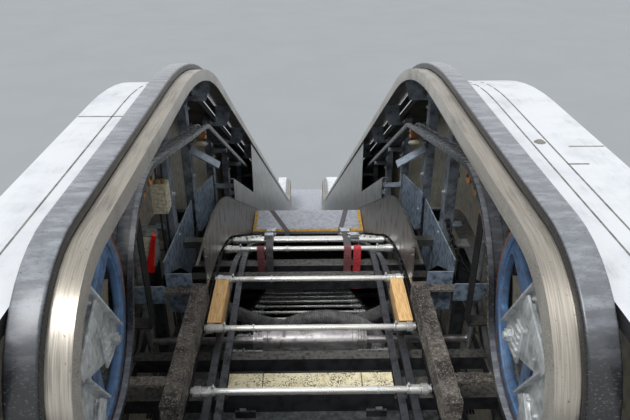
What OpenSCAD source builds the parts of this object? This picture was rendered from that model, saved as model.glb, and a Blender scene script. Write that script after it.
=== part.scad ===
// Escalator opened for repair at its upper landing: the floor plates, the comb and the inner
// panels of the upper end are off and the first steps are out. The lower end is complete.
// Y runs down the incline, Z is up, X = 0 is the middle of the steps.
// The origin lies on the flat underside of the upper bearing angle.

/* [Travel] */
// Slope of the stepped run in degrees
incline = 30; // [27:0.5:32]
// Height between the two landing floors
rise = 8000; // [5000:250:9000]
// Height of the upper floor above the underside of the bearing angle
floor_z = 150; // [130:10:180]
// From the bearing to where the line of step noses leaves the upper floor
nose_y = 3556; // [3400:10:3700]
// From the lower end of the nose line to the lower bearing
lower_landing = 2600; // [2500:50:3000]
// From the lower end of the nose line to the teeth of the comb
comb_reach = 700; // [600:50:800]

/* [Steps] */
// Width of a step
step_w = 1000; // [800:100:1000]
// Pitch of the steps along the chain
step_pitch = 406; // [400:1:410]
// Running gap between one step and the next
step_gap = 4; // [3:0.5:6]
// Thickness of a tread
tread_t = 25; // [20:1:30]
// Thickness of a riser
riser_t = 10; // [8:1:14]
// Level treads lie this far below the floor
tread_sink = 30; // [30:1:40]
// Chain axle below the tread
axle_drop = 136; // [130:1:145]
// Nose of the step ahead of its chain axle
nose_ahead = 270; // [260:1:280]
// Radius of the wheels on the chain axle
wheel_r = 75; // [72:1:80]
// Radius of the trailing wheels
trail_r = 37; // [32:1:40]
// Trailing wheel ahead of the chain axle
trail_ahead = 165; // [155:1:170]
// Trailing wheel below the chain axle
trail_drop = 80; // [76:1:86]
// Radius of the chain axles
axle_r = 14; // [10:1:16]
// Number of axles that carry no step
bare_axle_count = 23; // [20:1:27]

/* [Step chain] */
// Width over the outer link plates
chain_w = 30; // [28:1:36]
// Height of a link plate
link_h = 40; // [30:1:44]
// Thickness of a link plate
link_t = 5; // [4:0.5:6]
// Radius of the chain rollers
roller_r = 18; // [16:1:19]
// Radius of the turnaround
turn_r = 330; // [320:5:350]
// Centre of the upper turnaround from the bearing
upper_turn_y = 1750; // [1700:10:1800]
// Radius of the chain's bends at the two landings
bend_r = 1500; // [1300:50:1700]
// Width of a track rail
rail_w = 32; // [28:1:34]
// Height of a track rail
rail_h = 24; // [20:1:30]

/* [Handrails] */
// Handrail above the floor of a landing
handrail_up = 965; // [950:5:1000]
// Handrail above the line of noses
handrail_along = 860; // [840:5:900]
// Middle of a handrail from the middle of the steps
handrail_x = 630; // [630:1:640]
// Width of a handrail
handrail_w = 80; // [76:1:84]
// Thickness of a handrail with its lips
handrail_t = 28; // [26:1:30]
// Thickness of the belt between the lips
belt_t = 10; // [8:1:11]
// Outer radius of a handrail at the newels
newel_r = 410; // [400:1:420]
// Middle of the upper newel from the bearing
newel_y = 1590; // [1550:5:1620]
// Radius of the handrail's bends at the two landings
handrail_bend = 2250; // [2000:50:2600]
// Height of the handrail above its own return on the incline
return_drop = 370; // [350:5:400]
// Bend of the handrail's return from the bearing
return_bend_y = 3700; // [3680:1:3740]

/* [Handrail wheels] */
// Outer radius of the drive wheel with its tyre
drive_r = 335; // [325:1:340]
// Height of the wheel's axle above the floor
drive_up = 580; // [570:1:590]
// Thickness of the tyre
tyre_t = 12; // [10:1:16]
// Width of the tyre
tyre_w = 28; // [24:1:30]
// Running gap between the tyre and the handrail
drive_gap = 6; // [5.5:0.5:8]
// Radius of the wheel's axle
drive_axle_r = 25; // [20:1:28]
// Number of spokes
spokes = 6; // [5:1:8]

/* [Balustrades] */
// Inner edge of the handrail guide band from the middle
band_x = 530; // [528:1:534]
// Plate thickness of the guide band
band_t = 4; // [3:0.5:5]
// Depth of the band's inner lip
band_lip = 55; // [40:1:58]
// Outer deck below the handrail
deck_sink = 95; // [85:1:105]
// Width of the left outer deck
deck_w_left = 255; // [250:5:300]
// Width of the right outer deck
deck_w_right = 375; // [350:5:420]
// Thickness of deck and side sheets
sheet_t = 4; // [3:0.5:6]
// Skirt panel above the line of noses
skirt_up = 34; // [30:1:45]
// Skirt panel below the line of noses
skirt_down = 250; // [240:1:255]
// Thickness of the skirt panels
skirt_t = 5; // [4:0.5:6]
// Where the inner panels start, from the bearing
panel_y = 5800; // [5600:50:6000]
// Lower edge of the inner panels above the line of noses
profile_up = 200; // [180:10:240]

/* [Truss] */
// Outer width of the truss
truss_w = 1840; // [1840:10:1860]
// Leg of the chord angles
chord = 90; // [80:5:100]
// Thickness of the chord angles
chord_t = 8; // [6:1:10]
// Number of bays
bays = 13; // [11:1:15]
// Depth of the truss below the floor at a landing
truss_depth = 1140; // [1120:10:1200]
// Depth of the truss below the line of noses
truss_depth_along = 1390; // [1370:10:1450]
// Thickness of the bearing angles
bearing_t = 20; // [16:1:25]
// Width of the bearing leg on its support
bearing_w = 200; // [160:10:240]

/* [Hidden] */

slope = tan(incline);
low_z = floor_z - rise;
low_nose_y = nose_y + rise / slope;
end_y = low_nose_y + lower_landing;
comb_y = low_nose_y + comb_reach;
seat = 0.3;

// Vector helpers in the side view, where a point is [y, z]
function unit(v) = v / norm(v);
function left_of(v) = [-v[1], v[0]];
function turned(v, a) = [v[0] * cos(a) - v[1] * sin(a), v[0] * sin(a) + v[1] * cos(a)];
function angle_of(v) = atan2(v[1], v[0]);
function backwards(p) = [for (i = [len(p) - 1 : -1 : 0]) p[i]];
function moved(p, v) = [for (q = p) q + v];
function arc(c, r, a0, a1, sag = 1) =
  let (n = ceil(abs(a1 - a0) / (2 * acos(1 - sag / r))))
  [for (i = [0 : n]) c + r * [cos(a0 + (a1 - a0) * i / n), sin(a0 + (a1 - a0) * i / n)]];

// A path through corners [y, z, r], each rounded to its radius
function rounded_corner(a, b, c, r) =
  let (
    u = unit(a - b),
    v = unit(c - b),
    half = acos(u * v) / 2,
    centre = b + unit(u + v) * r / sin(half),
    from = b + u * r / tan(half) - centre,
    sweep = cross(u, v) > 0 ? -(180 - 2 * half) : 180 - 2 * half
  )
  arc(centre, r, angle_of(from), angle_of(from) + sweep);
function flat(q) = [q[0], q[1]];
function rounded(p) = [
  for (i = [0 : len(p) - 1])
    if (i == 0 || i == len(p) - 1 || p[i][2] == 0) flat(p[i])
    else each rounded_corner(flat(p[i - 1]), flat(p[i]), flat(p[i + 1]), p[i][2])
];

function ringed(p) =
  let (n = len(p))
  [
    for (i = [0 : n - 1])
      if (p[i][2] == 0) flat(p[i])
      else each rounded_corner(flat(p[(i + n - 1) % n]), flat(p[i]), flat(p[(i + 1) % n]), p[i][2])
  ];

// A path moved sideways, to its left where d is positive
function shifted_point(p, i, d, closed) =
  let (
    n = len(p),
    before = closed || i > 0 ? unit(p[i] - p[(i + n - 1) % n]) : unit(p[1] - p[0]),
    after = closed || i < n - 1 ? unit(p[(i + 1) % n] - p[i]) : before,
    middle = unit(left_of(before) + left_of(after))
  )
  p[i] + middle * d / (middle * left_of(before));
function shifted(p, d, closed = false) =
  [for (i = [0 : len(p) - 1]) shifted_point(p, i, d, closed)];

// A line that lies `up` above the floor at the landings and `along` above the line of noses
function bend_y(up, along) = nose_y + (along - up) / slope;
function run(y0, y1, up, along, r_top, r_low) = rounded([
  [y0, floor_z + up, 0],
  [bend_y(up, along), floor_z + up, r_top],
  [bend_y(up, along) + rise / slope, low_z + up, r_low],
  [y1, low_z + up, 0]
]);
// The part of a path between two stations
function slice(p, y0, y1) = concat(
  [[y0, lookup(y0, p)]],
  [for (q = p) if (q[0] > y0 + 1 && q[0] < y1 - 1) q],
  [[y1, lookup(y1, p)]]
);
function incline_z(y, along) = floor_z + (nose_y - y) * slope + along;

// Solids from side views
module across(x0, x1) {
  translate([x0, 0, 0]) rotate([90, 0, 90]) linear_extrude(x1 - x0) children();
}
module strip(p, a, b, x0, x1) {
  across(x0, x1) polygon(concat(shifted(p, a), backwards(shifted(p, b))));
}
module ring_strip(p, a, b, x0, x1) {
  n = len(p);
  across(x0, x1)
    polygon(
      concat(shifted(p, a, true), shifted(p, b, true)),
      paths = [[for (i = [0 : n - 1]) i], [for (i = [0 : n - 1]) n + i]]
    );
}
module bar(a, b, w) {
  translate(a) rotate(angle_of(b - a)) translate([0, -w / 2]) square([norm(b - a), w]);
}
module on_side(side) {
  if (side < 0) mirror([1, 0, 0]) children();
  else children();
}
module both_sides() {
  children();
  mirror([1, 0, 0]) children();
}
module box(x0, x1, y0, y1, z0, z1) {
  translate([x0, y0, z0]) cube([x1 - x0, y1 - y0, z1 - z0]);
}
module rod(x0, x1, c, r) {
  translate([x0, c[0], c[1]]) rotate([0, 90, 0]) cylinder(h = x1 - x0, r = r, $fn = 32);
}

// Widths across the machine
step_half = step_w / 2 - 3;
chain_x = step_half + 3;
wheel_rail_x = 424;
trail_rail_x = 378;
handrail_in = handrail_x - handrail_w / 2;
handrail_out = handrail_x + handrail_w / 2;
deck_in = handrail_out + 5;
truss_out = truss_w / 2;
truss_in = truss_out - chord;
post_in = truss_out - chord_t - 60;

// Chain loop: down on top, back below
axle_along = -(axle_drop + nose_ahead * slope);
axle_up = -(tread_sink + axle_drop);
lower_turn_y = comb_y + 450;
top_run = run(upper_turn_y, lower_turn_y, axle_up, axle_along, bend_r, bend_r);
upper_turn = [upper_turn_y, floor_z + axle_up - turn_r];
lower_turn = [lower_turn_y, low_z + axle_up - turn_r];
return_run = backwards(shifted(top_run, -2 * turn_r));
lower_arc = arc(lower_turn, turn_r, 90, -90);
upper_arc = arc(upper_turn, turn_r, 270, 90);
function inner_points(p) = [for (i = [1 : len(p) - 2]) p[i]];
loop = concat(top_run, inner_points(lower_arc), return_run, inner_points(upper_arc));
function lengths(p, i = 1, s = [0]) =
  i > len(p) ? s : lengths(p, i + 1, concat(s, [s[i - 1] + norm(p[i % len(p)] - p[i - 1])]));
loop_s = lengths(loop);
loop_length = loop_s[len(loop)];
step_count = round(loop_length / step_pitch);
link_pitch = loop_length / step_count / 2;
table_y = [for (i = [0 : len(loop)]) [loop_s[i], loop[i % len(loop)][0]]];
table_z = [for (i = [0 : len(loop)]) [loop_s[i], loop[i % len(loop)][1]]];
function wrapped(s) = s - loop_length * floor(s / loop_length);
function at(s) = [lookup(wrapped(s), table_y), lookup(wrapped(s), table_z)];

// The first step that is still in stands 1854 mm past the nose line's start
first_nose_y = nose_y + 1854;
first_axle_y = first_nose_y - nose_ahead;
top_s = [for (i = [0 : len(top_run) - 1]) [top_run[i][0], loop_s[i]]];
first_s = lookup(first_axle_y, top_s);
top_length = loop_s[len(top_run) - 1];
function axle_s(k) = first_s + k * 2 * link_pitch;
// Treads stay level on the top run and follow the chain everywhere else
function step_turn(s) =
  wrapped(s) + nose_ahead < top_length
    ? 0
    : angle_of(at(s + nose_ahead) - at(s - step_pitch + nose_ahead));

// Handrail loop, along its outer face
drive_c = [newel_y, floor_z + drive_up];
newel_c = [newel_y, floor_z + handrail_up - newel_r];
low_newel_y = comb_y + 550;
low_newel_c = [low_newel_y, low_z + handrail_up - newel_r];
rail_top = run(newel_y, low_newel_y, handrail_up, handrail_along, handrail_bend, handrail_bend);
wrap_r = drive_r + drive_gap + belt_t;
leave_angle = -22;
return_fall = 14;
wrap_end = drive_c + wrap_r * [cos(leave_angle), sin(leave_angle)];
return_bend = [return_bend_y, incline_z(return_bend_y, handrail_along - return_drop)];
leave_dir = [-sin(leave_angle), cos(leave_angle)];
fall_dir = [-cos(return_fall), sin(return_fall)];
function meet(p, u, q, v) = p + u * cross(q - p, v) / cross(u, v);
guide_corner = meet(wrap_end, leave_dir, return_bend, fall_dir);
guide_turn = 90 + leave_angle + return_fall;
guide_r = 0.97 * norm(guide_corner - wrap_end) / tan(guide_turn / 2);
low_return_up = handrail_up - 2 * newel_r;
low_return_y = bend_y(low_return_up, handrail_along - return_drop) + rise / slope;
return_path = rounded([
  [low_newel_y, low_z + low_return_up, 0],
  [low_return_y, low_z + low_return_up, 800],
  [return_bend[0], return_bend[1], 250],
  [guide_corner[0], guide_corner[1], guide_r],
  [wrap_end[0], wrap_end[1], 0]
]);
// From the bottom of the wheel the belt eases out to the newel's own circle
function eased(t) = t * t * (3 - 2 * t);
newel_ease = [
  for (i = [1 : 14])
    let (t = i / 14, e = eased(t), a = -90 - 90 * t)
    drive_c * (1 - e) + newel_c * e
      + (wrap_r * (1 - e) + newel_r * e) * [cos(a), sin(a)]
];
newel_arc = arc(newel_c, newel_r, 180, 90);
low_newel_arc = arc(low_newel_c, newel_r, 90, -90);
handrail_loop = concat(
  rail_top,
  inner_points(low_newel_arc),
  return_path,
  inner_points(concat([wrap_end], arc(drive_c, wrap_r, leave_angle - 3, -90, 0.5), [newel_c])),
  newel_ease,
  inner_points(newel_arc)
);

// Bearing angles: a flat leg on the landing's support and a leg down the end of the truss
module bearing_angle(y, s) {
  box(-truss_out, truss_out, y - bearing_w / 2, y + bearing_w / 2, 0, bearing_t);
  leg_y = y + s * (bearing_w - bearing_t) / 2;
  box(-truss_out, truss_out, leg_y - bearing_t / 2, leg_y + bearing_t / 2, -180, 0);
}
module bearing_angles() {
  color("dimgray") {
    bearing_angle(0, 1);
    translate([0, 0, low_z - floor_z]) bearing_angle(end_y, -1);
  }
}

// Truss
truss_y0 = bearing_w / 2;
truss_y1 = end_y - bearing_w / 2;
chord_top = run(truss_y0, truss_y1, -tread_sink, -70, 600, 600);
chord_low = run(truss_y0, truss_y1, -truss_depth, -truss_depth_along, 600, 600);
chord_z = floor_z - tread_sink;
post_w = 60;
function station(i) = truss_y0 + 30 + i * (truss_y1 - truss_y0 - 60) / bays;
module truss_side() {
  color("slategray") {
    strip(chord_top, -chord, 0, truss_out - chord_t, truss_out);
    strip(chord_top, -chord_t, 0, truss_in, truss_out);
    strip(chord_low, 0, chord, truss_out - chord_t, truss_out);
    strip(chord_low, 0, chord_t, truss_in, truss_out);
    across(post_in, truss_out - chord_t)
      for (i = [0 : bays]) {
        y0 = station(i) - post_w / 2;
        y1 = station(i) + post_w / 2;
        polygon([
          [y0, lookup(y0, chord_low) + chord_t + 12], [y1, lookup(y1, chord_low) + chord_t + 12],
          [y1, lookup(y1, chord_top) - chord_t - 12], [y0, lookup(y0, chord_top) - chord_t - 12]
        ]);
      }
    across(truss_out - chord_t - 24, truss_out - chord_t)
      for (i = [0 : bays - 1]) {
        y0 = station(i) + 20;
        y1 = station(i + 1) - 20;
        bar([y0, lookup(y0, chord_low) + 80], [y1, lookup(y1, chord_top) - 80], 50);
      }
  }
}
module truss_left() { on_side(-1) truss_side(); }
module truss_right() { on_side(1) truss_side(); }

// Cross members: bottom bearers, rail bearers and the beams of the open pit
wheel_rail_low = shifted(top_run, -(wheel_r + seat + rail_h));
trail_path = moved(top_run, [trail_ahead, -trail_drop]);
trail_rail_low = shifted(trail_path, -(trail_r + seat + rail_h));
return_line = shifted(top_run, -2 * turn_r);
return_rail_h = 16;
return_rail_low = shifted(return_line, -(link_h / 2 + seat + return_rail_h));
bearer_top = run(truss_y0, truss_y1, axle_up - 200, axle_along - 232, 0, 0);
bearer_h = 80;
beam_top = floor_z - 326;
side_member_t = 12;
// Pit beams as [start, width, top]
pit_beams = [[2250, 133, beam_top], [2510, 60, beam_top], [3193, 68, beam_top],
             [3370, 60, beam_top - 30]];
module rail_stubs(y0, y1, top) {
  both_sides() {
    across(wheel_rail_x + 4, wheel_rail_x + rail_w - 4)
      polygon([[y0, top], [y1, top], [y1, lookup(y1, wheel_rail_low) - 0.2],
               [y0, lookup(y0, wheel_rail_low) - 0.2]]);
    across(trail_rail_x + 4, trail_rail_x + rail_w - 4)
      polygon([[y0, top], [y1, top], [y1, lookup(y1, trail_rail_low) - 0.2],
               [y0, lookup(y0, trail_rail_low) - 0.2]]);
  }
}
module truss_cross_members() {
  color("#3b3c40") {
    for (i = [0 : bays]) {
      y = station(i);
      z = max(lookup(y - 25, chord_low), lookup(y + 25, chord_low)) + chord_t + 2;
      box(-post_in, post_in, y - 25, y + 25, z, z + 60);
    }
    for (i = [2 : bays - 1]) {
      y = station(i);
      top = lookup(y, bearer_top);
      if (i > 2) {
        box(-post_in, post_in, y - 30, y + 30, top - bearer_h, top);
        rail_stubs(y - 20, y + 20, top);
      }
      both_sides() strip(slice(return_rail_low, y - 20, y + 20), -40, -0.2, chain_x + 2, post_in);
    }
  }
}

// Frame of the open pit: its beams, the members along its sides, an upstand in front of the
// boards, two lugs and the sockets for the slack hose
board_stop = 28;
slack_y = 3370;
slack_r = 900;
slack_z = 216;
slack_angle = acos(620 / slack_r);
socket_r = 50;
module hose_socket() {
  bracket_x = post_in - side_member_t;
  elbow_z = slack_z - slack_r * sin(slack_angle) + 44;
  translate([0, slack_y, slack_z]) rotate([0, slack_angle, 0]) translate([slack_r, 0, seat])
    cylinder(h = 70, r = socket_r, $fn = 32);
  rod(660, bracket_x, [slack_y, elbow_z], socket_r - 16);
  box(bracket_x, post_in, slack_y - 40, slack_y + 40, elbow_z - 60, beam_top - 75);
}
module pit_frame() {
  color("#2e2f33") {
    for (b = pit_beams) {
      box(-post_in, post_in, b[0], b[0] + b[1], b[2] - 8, b[2]);
      box(-post_in, post_in, b[0], b[0] + 8, b[2] - 75, b[2] - 8);
      rail_stubs(b[0], b[0] + 40, b[2]);
    }
    box(-370, 370, pit_beams[0][0], pit_beams[0][0] + 8, beam_top, beam_top + board_stop);
    both_sides() {
      box(post_in - side_member_t, post_in, truss_y0 + 60, 3430, beam_top - 75, beam_top - 8);
      box(248, 340, pit_beams[0][0] - 12, pit_beams[0][0], beam_top - 100, beam_top - 62);
      hose_socket();
    }
  }
}
module soffit_pan() {
  color("gray") {
    strip(chord_low, 0, 6, -truss_in, truss_in);
    box(-truss_in, truss_in, truss_y0, truss_y0 + 4, floor_z - truss_depth + 3, -180);
    box(-truss_in, truss_in, truss_y1 - 4, truss_y1, low_z - truss_depth + 3,
        low_z - floor_z - 180);
  }
}

// Outer decks with the plates that close their ends, and the side sheets below them
deck_y0 = newel_y - newel_r;
deck_y1 = low_newel_y + newel_r;
deck_path = run(deck_y0, deck_y1, handrail_up, handrail_along, handrail_bend, handrail_bend);
deck_low = shifted(deck_path, -deck_sink - sheet_t);
module outer_deck(w) {
  edge_h = 40;
  color("whitesmoke") {
    strip(deck_path, -deck_sink - sheet_t, -deck_sink, deck_in, deck_in + w);
    for (x = [deck_in, deck_in + w - sheet_t])
      strip(deck_path, -deck_sink - edge_h, -deck_sink - sheet_t / 2, x, x + sheet_t);
    box(deck_in, deck_in + w, deck_y0, deck_y0 + sheet_t, chord_z, floor_z + handrail_up - deck_sink);
    box(deck_in, deck_in + w, deck_y1 - sheet_t, deck_y1, low_z, low_z + handrail_up - deck_sink);
  }
}
module outer_deck_left() { on_side(-1) outer_deck(deck_w_left); }
module outer_deck_right() { on_side(1) outer_deck(deck_w_right); }
module side_sheet() {
  y0 = deck_y0 + 10;
  y1 = deck_y1 - 10;
  low_chord_z = low_z - tread_sink;
  across(truss_out, truss_out + sheet_t)
    polygon(concat(
      [[truss_y0, chord_z], [y0, chord_z]],
      slice(shifted(deck_low, -seat), y0, y1),
      [[y1, low_chord_z], [truss_y1, low_chord_z]],
      backwards(chord_low)
    ));
}
module side_sheets() {
  color("tan") both_sides() side_sheet();
}

// Handrails: a belt with two lips, closed round both newels
lip_t = 8;
lip_gap = 44;
module handrail() {
  color("#2b2b2d") {
    ring_strip(handrail_loop, 0, -belt_t, handrail_in, handrail_out);
    for (x = [handrail_in, handrail_out - lip_t])
      ring_strip(handrail_loop, -belt_t, -handrail_t, x, x + lip_t);
    for (x = [handrail_in + lip_t, handrail_x + lip_gap / 2])
      ring_strip(handrail_loop, lip_t - handrail_t, -handrail_t, x,
                 x + handrail_w / 2 - lip_gap / 2 - lip_t);
  }
}
module handrail_left() { on_side(-1) handrail(); }
module handrail_right() { on_side(1) handrail(); }

// Guide band: the bright strip inboard of the handrail, with the rib that the belt slides on
band_sink = handrail_t + 4;
function above(p, z) = [for (q = p) if (q[1] > z) q];
band_run = concat(
  arc(newel_c, newel_r, 235, 186),
  inner_points(newel_arc),
  rail_top,
  above(inner_points(low_newel_arc), low_newel_c[1] - 296)
);
rib_run = concat(
  inner_points(newel_arc),
  rail_top,
  above(inner_points(low_newel_arc), low_newel_c[1])
);
rib_w = 36;
module guide_band() {
  color("lightsteelblue") {
    strip(band_run, -band_sink - band_t, -band_sink, band_x, handrail_in - 2);
    strip(band_run, -band_sink - band_lip, -band_sink - band_t, band_x, band_x + band_t);
    strip(rib_run, -band_sink - band_t, -band_sink, handrail_in - 2, handrail_x + 20);
    strip(rib_run, -band_sink, -belt_t - seat, handrail_x - rib_w / 2, handrail_x + rib_w / 2);
  }
}
module guide_band_left() { on_side(-1) guide_band(); }
module guide_band_right() { on_side(1) guide_band(); }

// Handrail drive wheels: a cast disc with a window between each two spokes
wheel_rim_t = 30;
rim_half = 16;
web_half = 10;
hub_r = 62;
hub_w = 60;
spoke_w = 58;
bore_gap = 0.05;
window_out = drive_r - tyre_t - wheel_rim_t;
window_in = hub_r + 38;
function window_half(r) = 180 / spokes - asin(spoke_w / 2 / r);
module wheel_window() {
  a = window_half(window_out);
  b = window_half(window_in);
  r = window_out - 5;
  polygon(ringed([
    [r * cos(a), -r * sin(a), 24],
    [r * cos(a / 3), -r * sin(a / 3), 0],
    [r * cos(a / 3), r * sin(a / 3), 0],
    [r * cos(a), r * sin(a), 24],
    [window_in * cos(b), window_in * sin(b), 18],
    [window_in * cos(b), -window_in * sin(b), 18]
  ]));
}
module drive_wheel() {
  color("steelblue") difference() {
    union() {
      difference() {
        rod(handrail_x - rim_half, handrail_x + rim_half, drive_c, drive_r - tyre_t);
        for (x = [handrail_x - rim_half - 1, handrail_x + web_half])
          rod(x, x + rim_half - web_half + 1, drive_c, window_out);
      }
      rod(handrail_x - hub_w / 2, handrail_x + hub_w / 2, drive_c, hub_r);
    }
    rod(handrail_x - hub_w, handrail_x + hub_w, drive_c, drive_axle_r + bore_gap);
    across(handrail_x - rim_half, handrail_x + rim_half)
      for (k = [0 : spokes - 1])
        translate(drive_c) rotate((k + 0.5) * 360 / spokes + 90) wheel_window();
  }
}
module handrail_wheel_left() { on_side(-1) drive_wheel(); }
module handrail_wheel_right() { on_side(1) drive_wheel(); }
module drive_tyre() {
  color("sienna") difference() {
    rod(handrail_x - tyre_w / 2, handrail_x + tyre_w / 2, drive_c, drive_r);
    rod(handrail_x - tyre_w, handrail_x + tyre_w, drive_c, drive_r - tyre_t);
  }
}
module wheel_tyre_left() { on_side(-1) drive_tyre(); }
module wheel_tyre_right() { on_side(1) drive_tyre(); }

// Newel brackets: inboard gussets with folded edges hold the wheel's axle to the guide band,
// and a stand outboard of the wheel carries it down to the truss
gusset_x = band_x + 26;
gusset_t = 6;
fold_w = 20;
gusset_r = newel_r - band_sink - band_t - 1.5;
stand_x = handrail_out + 8;
stand_t = 8;
function on_newel(a, inset = 0) = newel_c + (gusset_r - inset) * [cos(a), sin(a)];
module folded_edge(a, b) {
  across(gusset_x - fold_w, gusset_x) bar(a, b, gusset_t);
}
module channel(a, b) {
  across(gusset_x - fold_w, gusset_x) bar(a, b, 8);
  across(gusset_x - fold_w, gusset_x - fold_w + 6) bar(a, b, 44);
}
module newel_bracket() {
  rod(gusset_x, stand_x + stand_t, drive_c, drive_axle_r);
  rod(gusset_x + gusset_t, handrail_x - hub_w / 2 - 5, drive_c, drive_axle_r + 12);
  across(gusset_x, gusset_x + gusset_t) {
    polygon([
      on_newel(114), drive_c + [44, 18], drive_c + [36, -34], drive_c + [-12, -44],
      drive_c + [-221, 47], drive_c + [-250, 145], on_newel(122)
    ]);
    polygon([
      on_newel(146), drive_c + [-134, -84], drive_c + [-150, -230], on_newel(228), on_newel(222)
    ]);
    bar(drive_c + [-215, 60], drive_c + [-205, -90], 70);
  }
  folded_edge(on_newel(114, 12), drive_c + [40, 18]);
  folded_edge(on_newel(146, 12), drive_c + [-134, -84]);
  channel(drive_c + [-92, 190], drive_c + [-270, 108]);
  channel(drive_c + [-175, -50], drive_c + [-262, -130]);
  across(stand_x, stand_x + stand_t)
    polygon([
      [newel_y - 90, chord_z], [newel_y + 90, chord_z], drive_c + [70, -230], drive_c + [50, -20],
      drive_c + [30, 44], drive_c + [-30, 44], drive_c + [-50, -20], drive_c + [-70, -230]
    ]);
  box(stand_x, truss_in + 60, newel_y - 90, newel_y + 90, chord_z, chord_z + 8);
}
module newel_brackets() {
  color("darkseagreen") both_sides() newel_bracket();
}

// Balustrade posts with the brackets below the guide band and the rollers under the return
post_x = handrail_out + 30;
band_under = shifted(rail_top, -band_sink - band_t - seat);
skirt_x = chain_x + 5;
skirt_end_y = low_nose_y + 950;
skirt_flat = 184;
profile_flat = 280;
skirt_top = run(0, low_newel_y + 400, skirt_flat, skirt_up, 1900, 800);
profile_top = run(0, low_newel_y + 400, profile_flat, profile_up, 800, 800);
profile_y = 4073;
profile_x = skirt_x + 7;
profile_t = 4;
return_roller_r = 20;
return_rollers = shifted(return_path, return_roller_r + seat);
// The last post stands between the skirt's end and the lugs of the lower comb plate
comb_lug_y = comb_y + 300;
last_post_y = (skirt_end_y - 60 + comb_lug_y) / 2;
post_stations = [3070, 3640, 4440, 5230, for (i = [4 : bays - 2]) station(i), last_post_y];
module balustrade_post(y) {
  half = 40;
  z_low = min(lookup(y - half, chord_top), lookup(y + half, chord_top));
  z_top = min(lookup(y - half, deck_low), lookup(y + half, deck_low)) - seat;
  translate([post_x, y, z_low]) linear_extrude(z_top - z_low)
    polygon([[0, -half], [50, -half], [50, 6 - half], [6, 6 - half],
             [6, half - 6], [50, half - 6], [50, half], [0, half]]);
  strip(slice(chord_top, y - half, y + half), seat, 12, post_x, truss_in + 30);
  bracket_z = lookup(y + half, band_under);
  translate([0, y + half, 0]) rotate([90, 0, 0]) linear_extrude(8)
    polygon([[band_x + 20, bracket_z], [deck_in - 9, bracket_z], [deck_in - 9, bracket_z - 122],
             [post_x + 3, bracket_z - 122], [post_x + 3, bracket_z - 150],
             [band_x + 60, bracket_z - 150], [band_x + 30, bracket_z - 60]]);
  if (y > return_bend_y + 50)
    rod(handrail_in + 6, post_x + 3, [y, lookup(y, return_rollers)], return_roller_r);
  if (y > profile_y)
    strip(slice(profile_top, y - 20, y + 20), -40, -profile_t - 0.2, profile_x + profile_t, post_x + 3);
}
module balustrade_posts() {
  color("slategray") both_sides() for (y = post_stations) balustrade_post(y);
}

// Return guides: a bow of rollers that turns the handrail off its wheel
bow_c = guide_corner + unit(unit(return_bend - guide_corner) + unit(wrap_end - guide_corner))
  * guide_r / cos(guide_turn / 2);
bow_roller_r = 30;
bow_pin_r = 8;
bow_angles = [82, 97, 112, 127, 142];
bend_roller = return_bend - (bow_roller_r + 4) * [sin(22), cos(22)];
roller_spots = concat(
  [for (a = bow_angles) bow_c + (guide_r - bow_roller_r - 1.3) * [cos(a), sin(a)]],
  [bend_roller]
);
guide_x = post_x - 6;
module return_guide() {
  for (s = roller_spots) rod(handrail_x - 24, guide_x, s, bow_pin_r);
  across(guide_x, post_x) {
    polygon(concat(
      arc(bow_c, guide_r - 8, 76, 148),
      arc(bow_c, guide_r - 76, 148, 76)
    ));
    polygon([[2380, chord_z], [2450, chord_z], [2450, bow_c[1] + guide_r - 60],
             [2380, bow_c[1] + guide_r - 60]]);
    polygon(moved([[-108, -94], [27, -94], [27, 26], [-108, 26]], return_bend));
  }
  box(guide_x, truss_in + 40, 2380, 2450, chord_z, chord_z + 8);
}
module return_guides() {
  color("#45484c") both_sides() return_guide();
}
module guide_rollers() {
  color("peru") both_sides()
    for (s = roller_spots)
      difference() {
        rod(handrail_x - 20, handrail_x + 20, s, bow_roller_r);
        rod(handrail_x - 21, handrail_x + 21, s, bow_pin_r + seat);
      }
}

// Inner panels on their profile, and the skirts
panel_x = 545;
panel_end_z = low_z + profile_flat - 1;
panel_end_r = newel_r - band_sink - band_t - 1;
panel_end_y = low_newel_y + sqrt(pow(panel_end_r, 2) - pow(low_newel_c[1] - panel_end_z, 2)) - 5;
panel_t = 4;
module inner_panel() {
  color("lightgray") {
    across(panel_x, panel_x + panel_t)
      polygon(concat(
        slice(band_under, panel_y, low_newel_y),
        above(inner_points(shifted(low_newel_arc, -band_sink - band_t - seat)), panel_end_z),
        [[panel_end_y, panel_end_z]],
        backwards(slice(shifted(profile_top, -1), panel_y, low_newel_y))
      ));
    across(profile_x, profile_x + profile_t)
      polygon(concat(
        slice(profile_top, profile_y, panel_end_y),
        [[panel_end_y, low_z], [comb_y + 401, low_z]],
        backwards(slice(skirt_top, profile_y, comb_y + 401))
      ));
    strip(slice(profile_top, profile_y, panel_end_y), -profile_t, 0, profile_x, panel_x + panel_t);
  }
}
module inner_panel_left() { on_side(-1) inner_panel(); }
module inner_panel_right() { on_side(1) inner_panel(); }
skirt_tip_y = 2750;
skirt_low = run(0, skirt_end_y + 10, -63, -skirt_down, 2500, bend_r);
module skirt() {
  color("darkgray") {
    across(skirt_x, skirt_x + skirt_t)
      polygon(concat(
        slice(skirt_top, skirt_tip_y, skirt_end_y),
        backwards(slice(skirt_low, skirt_tip_y, skirt_end_y))
      ));
    for (i = [3 : bays - 2])
      strip(slice(chord_top, station(i) + 90, station(i) + 140), seat, 30, skirt_x + skirt_t,
            truss_in + 30);
    box(skirt_x + skirt_t, truss_in + 30, skirt_end_y - 110, skirt_end_y - 60,
        low_z - tread_sink + seat, low_z - 1);
    box(skirt_x + skirt_t, deflector_x, 3150, 3200, 60, 100);
  }
}
module skirt_left() { on_side(-1) skirt(); }
module skirt_right() { on_side(1) skirt(); }

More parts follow.
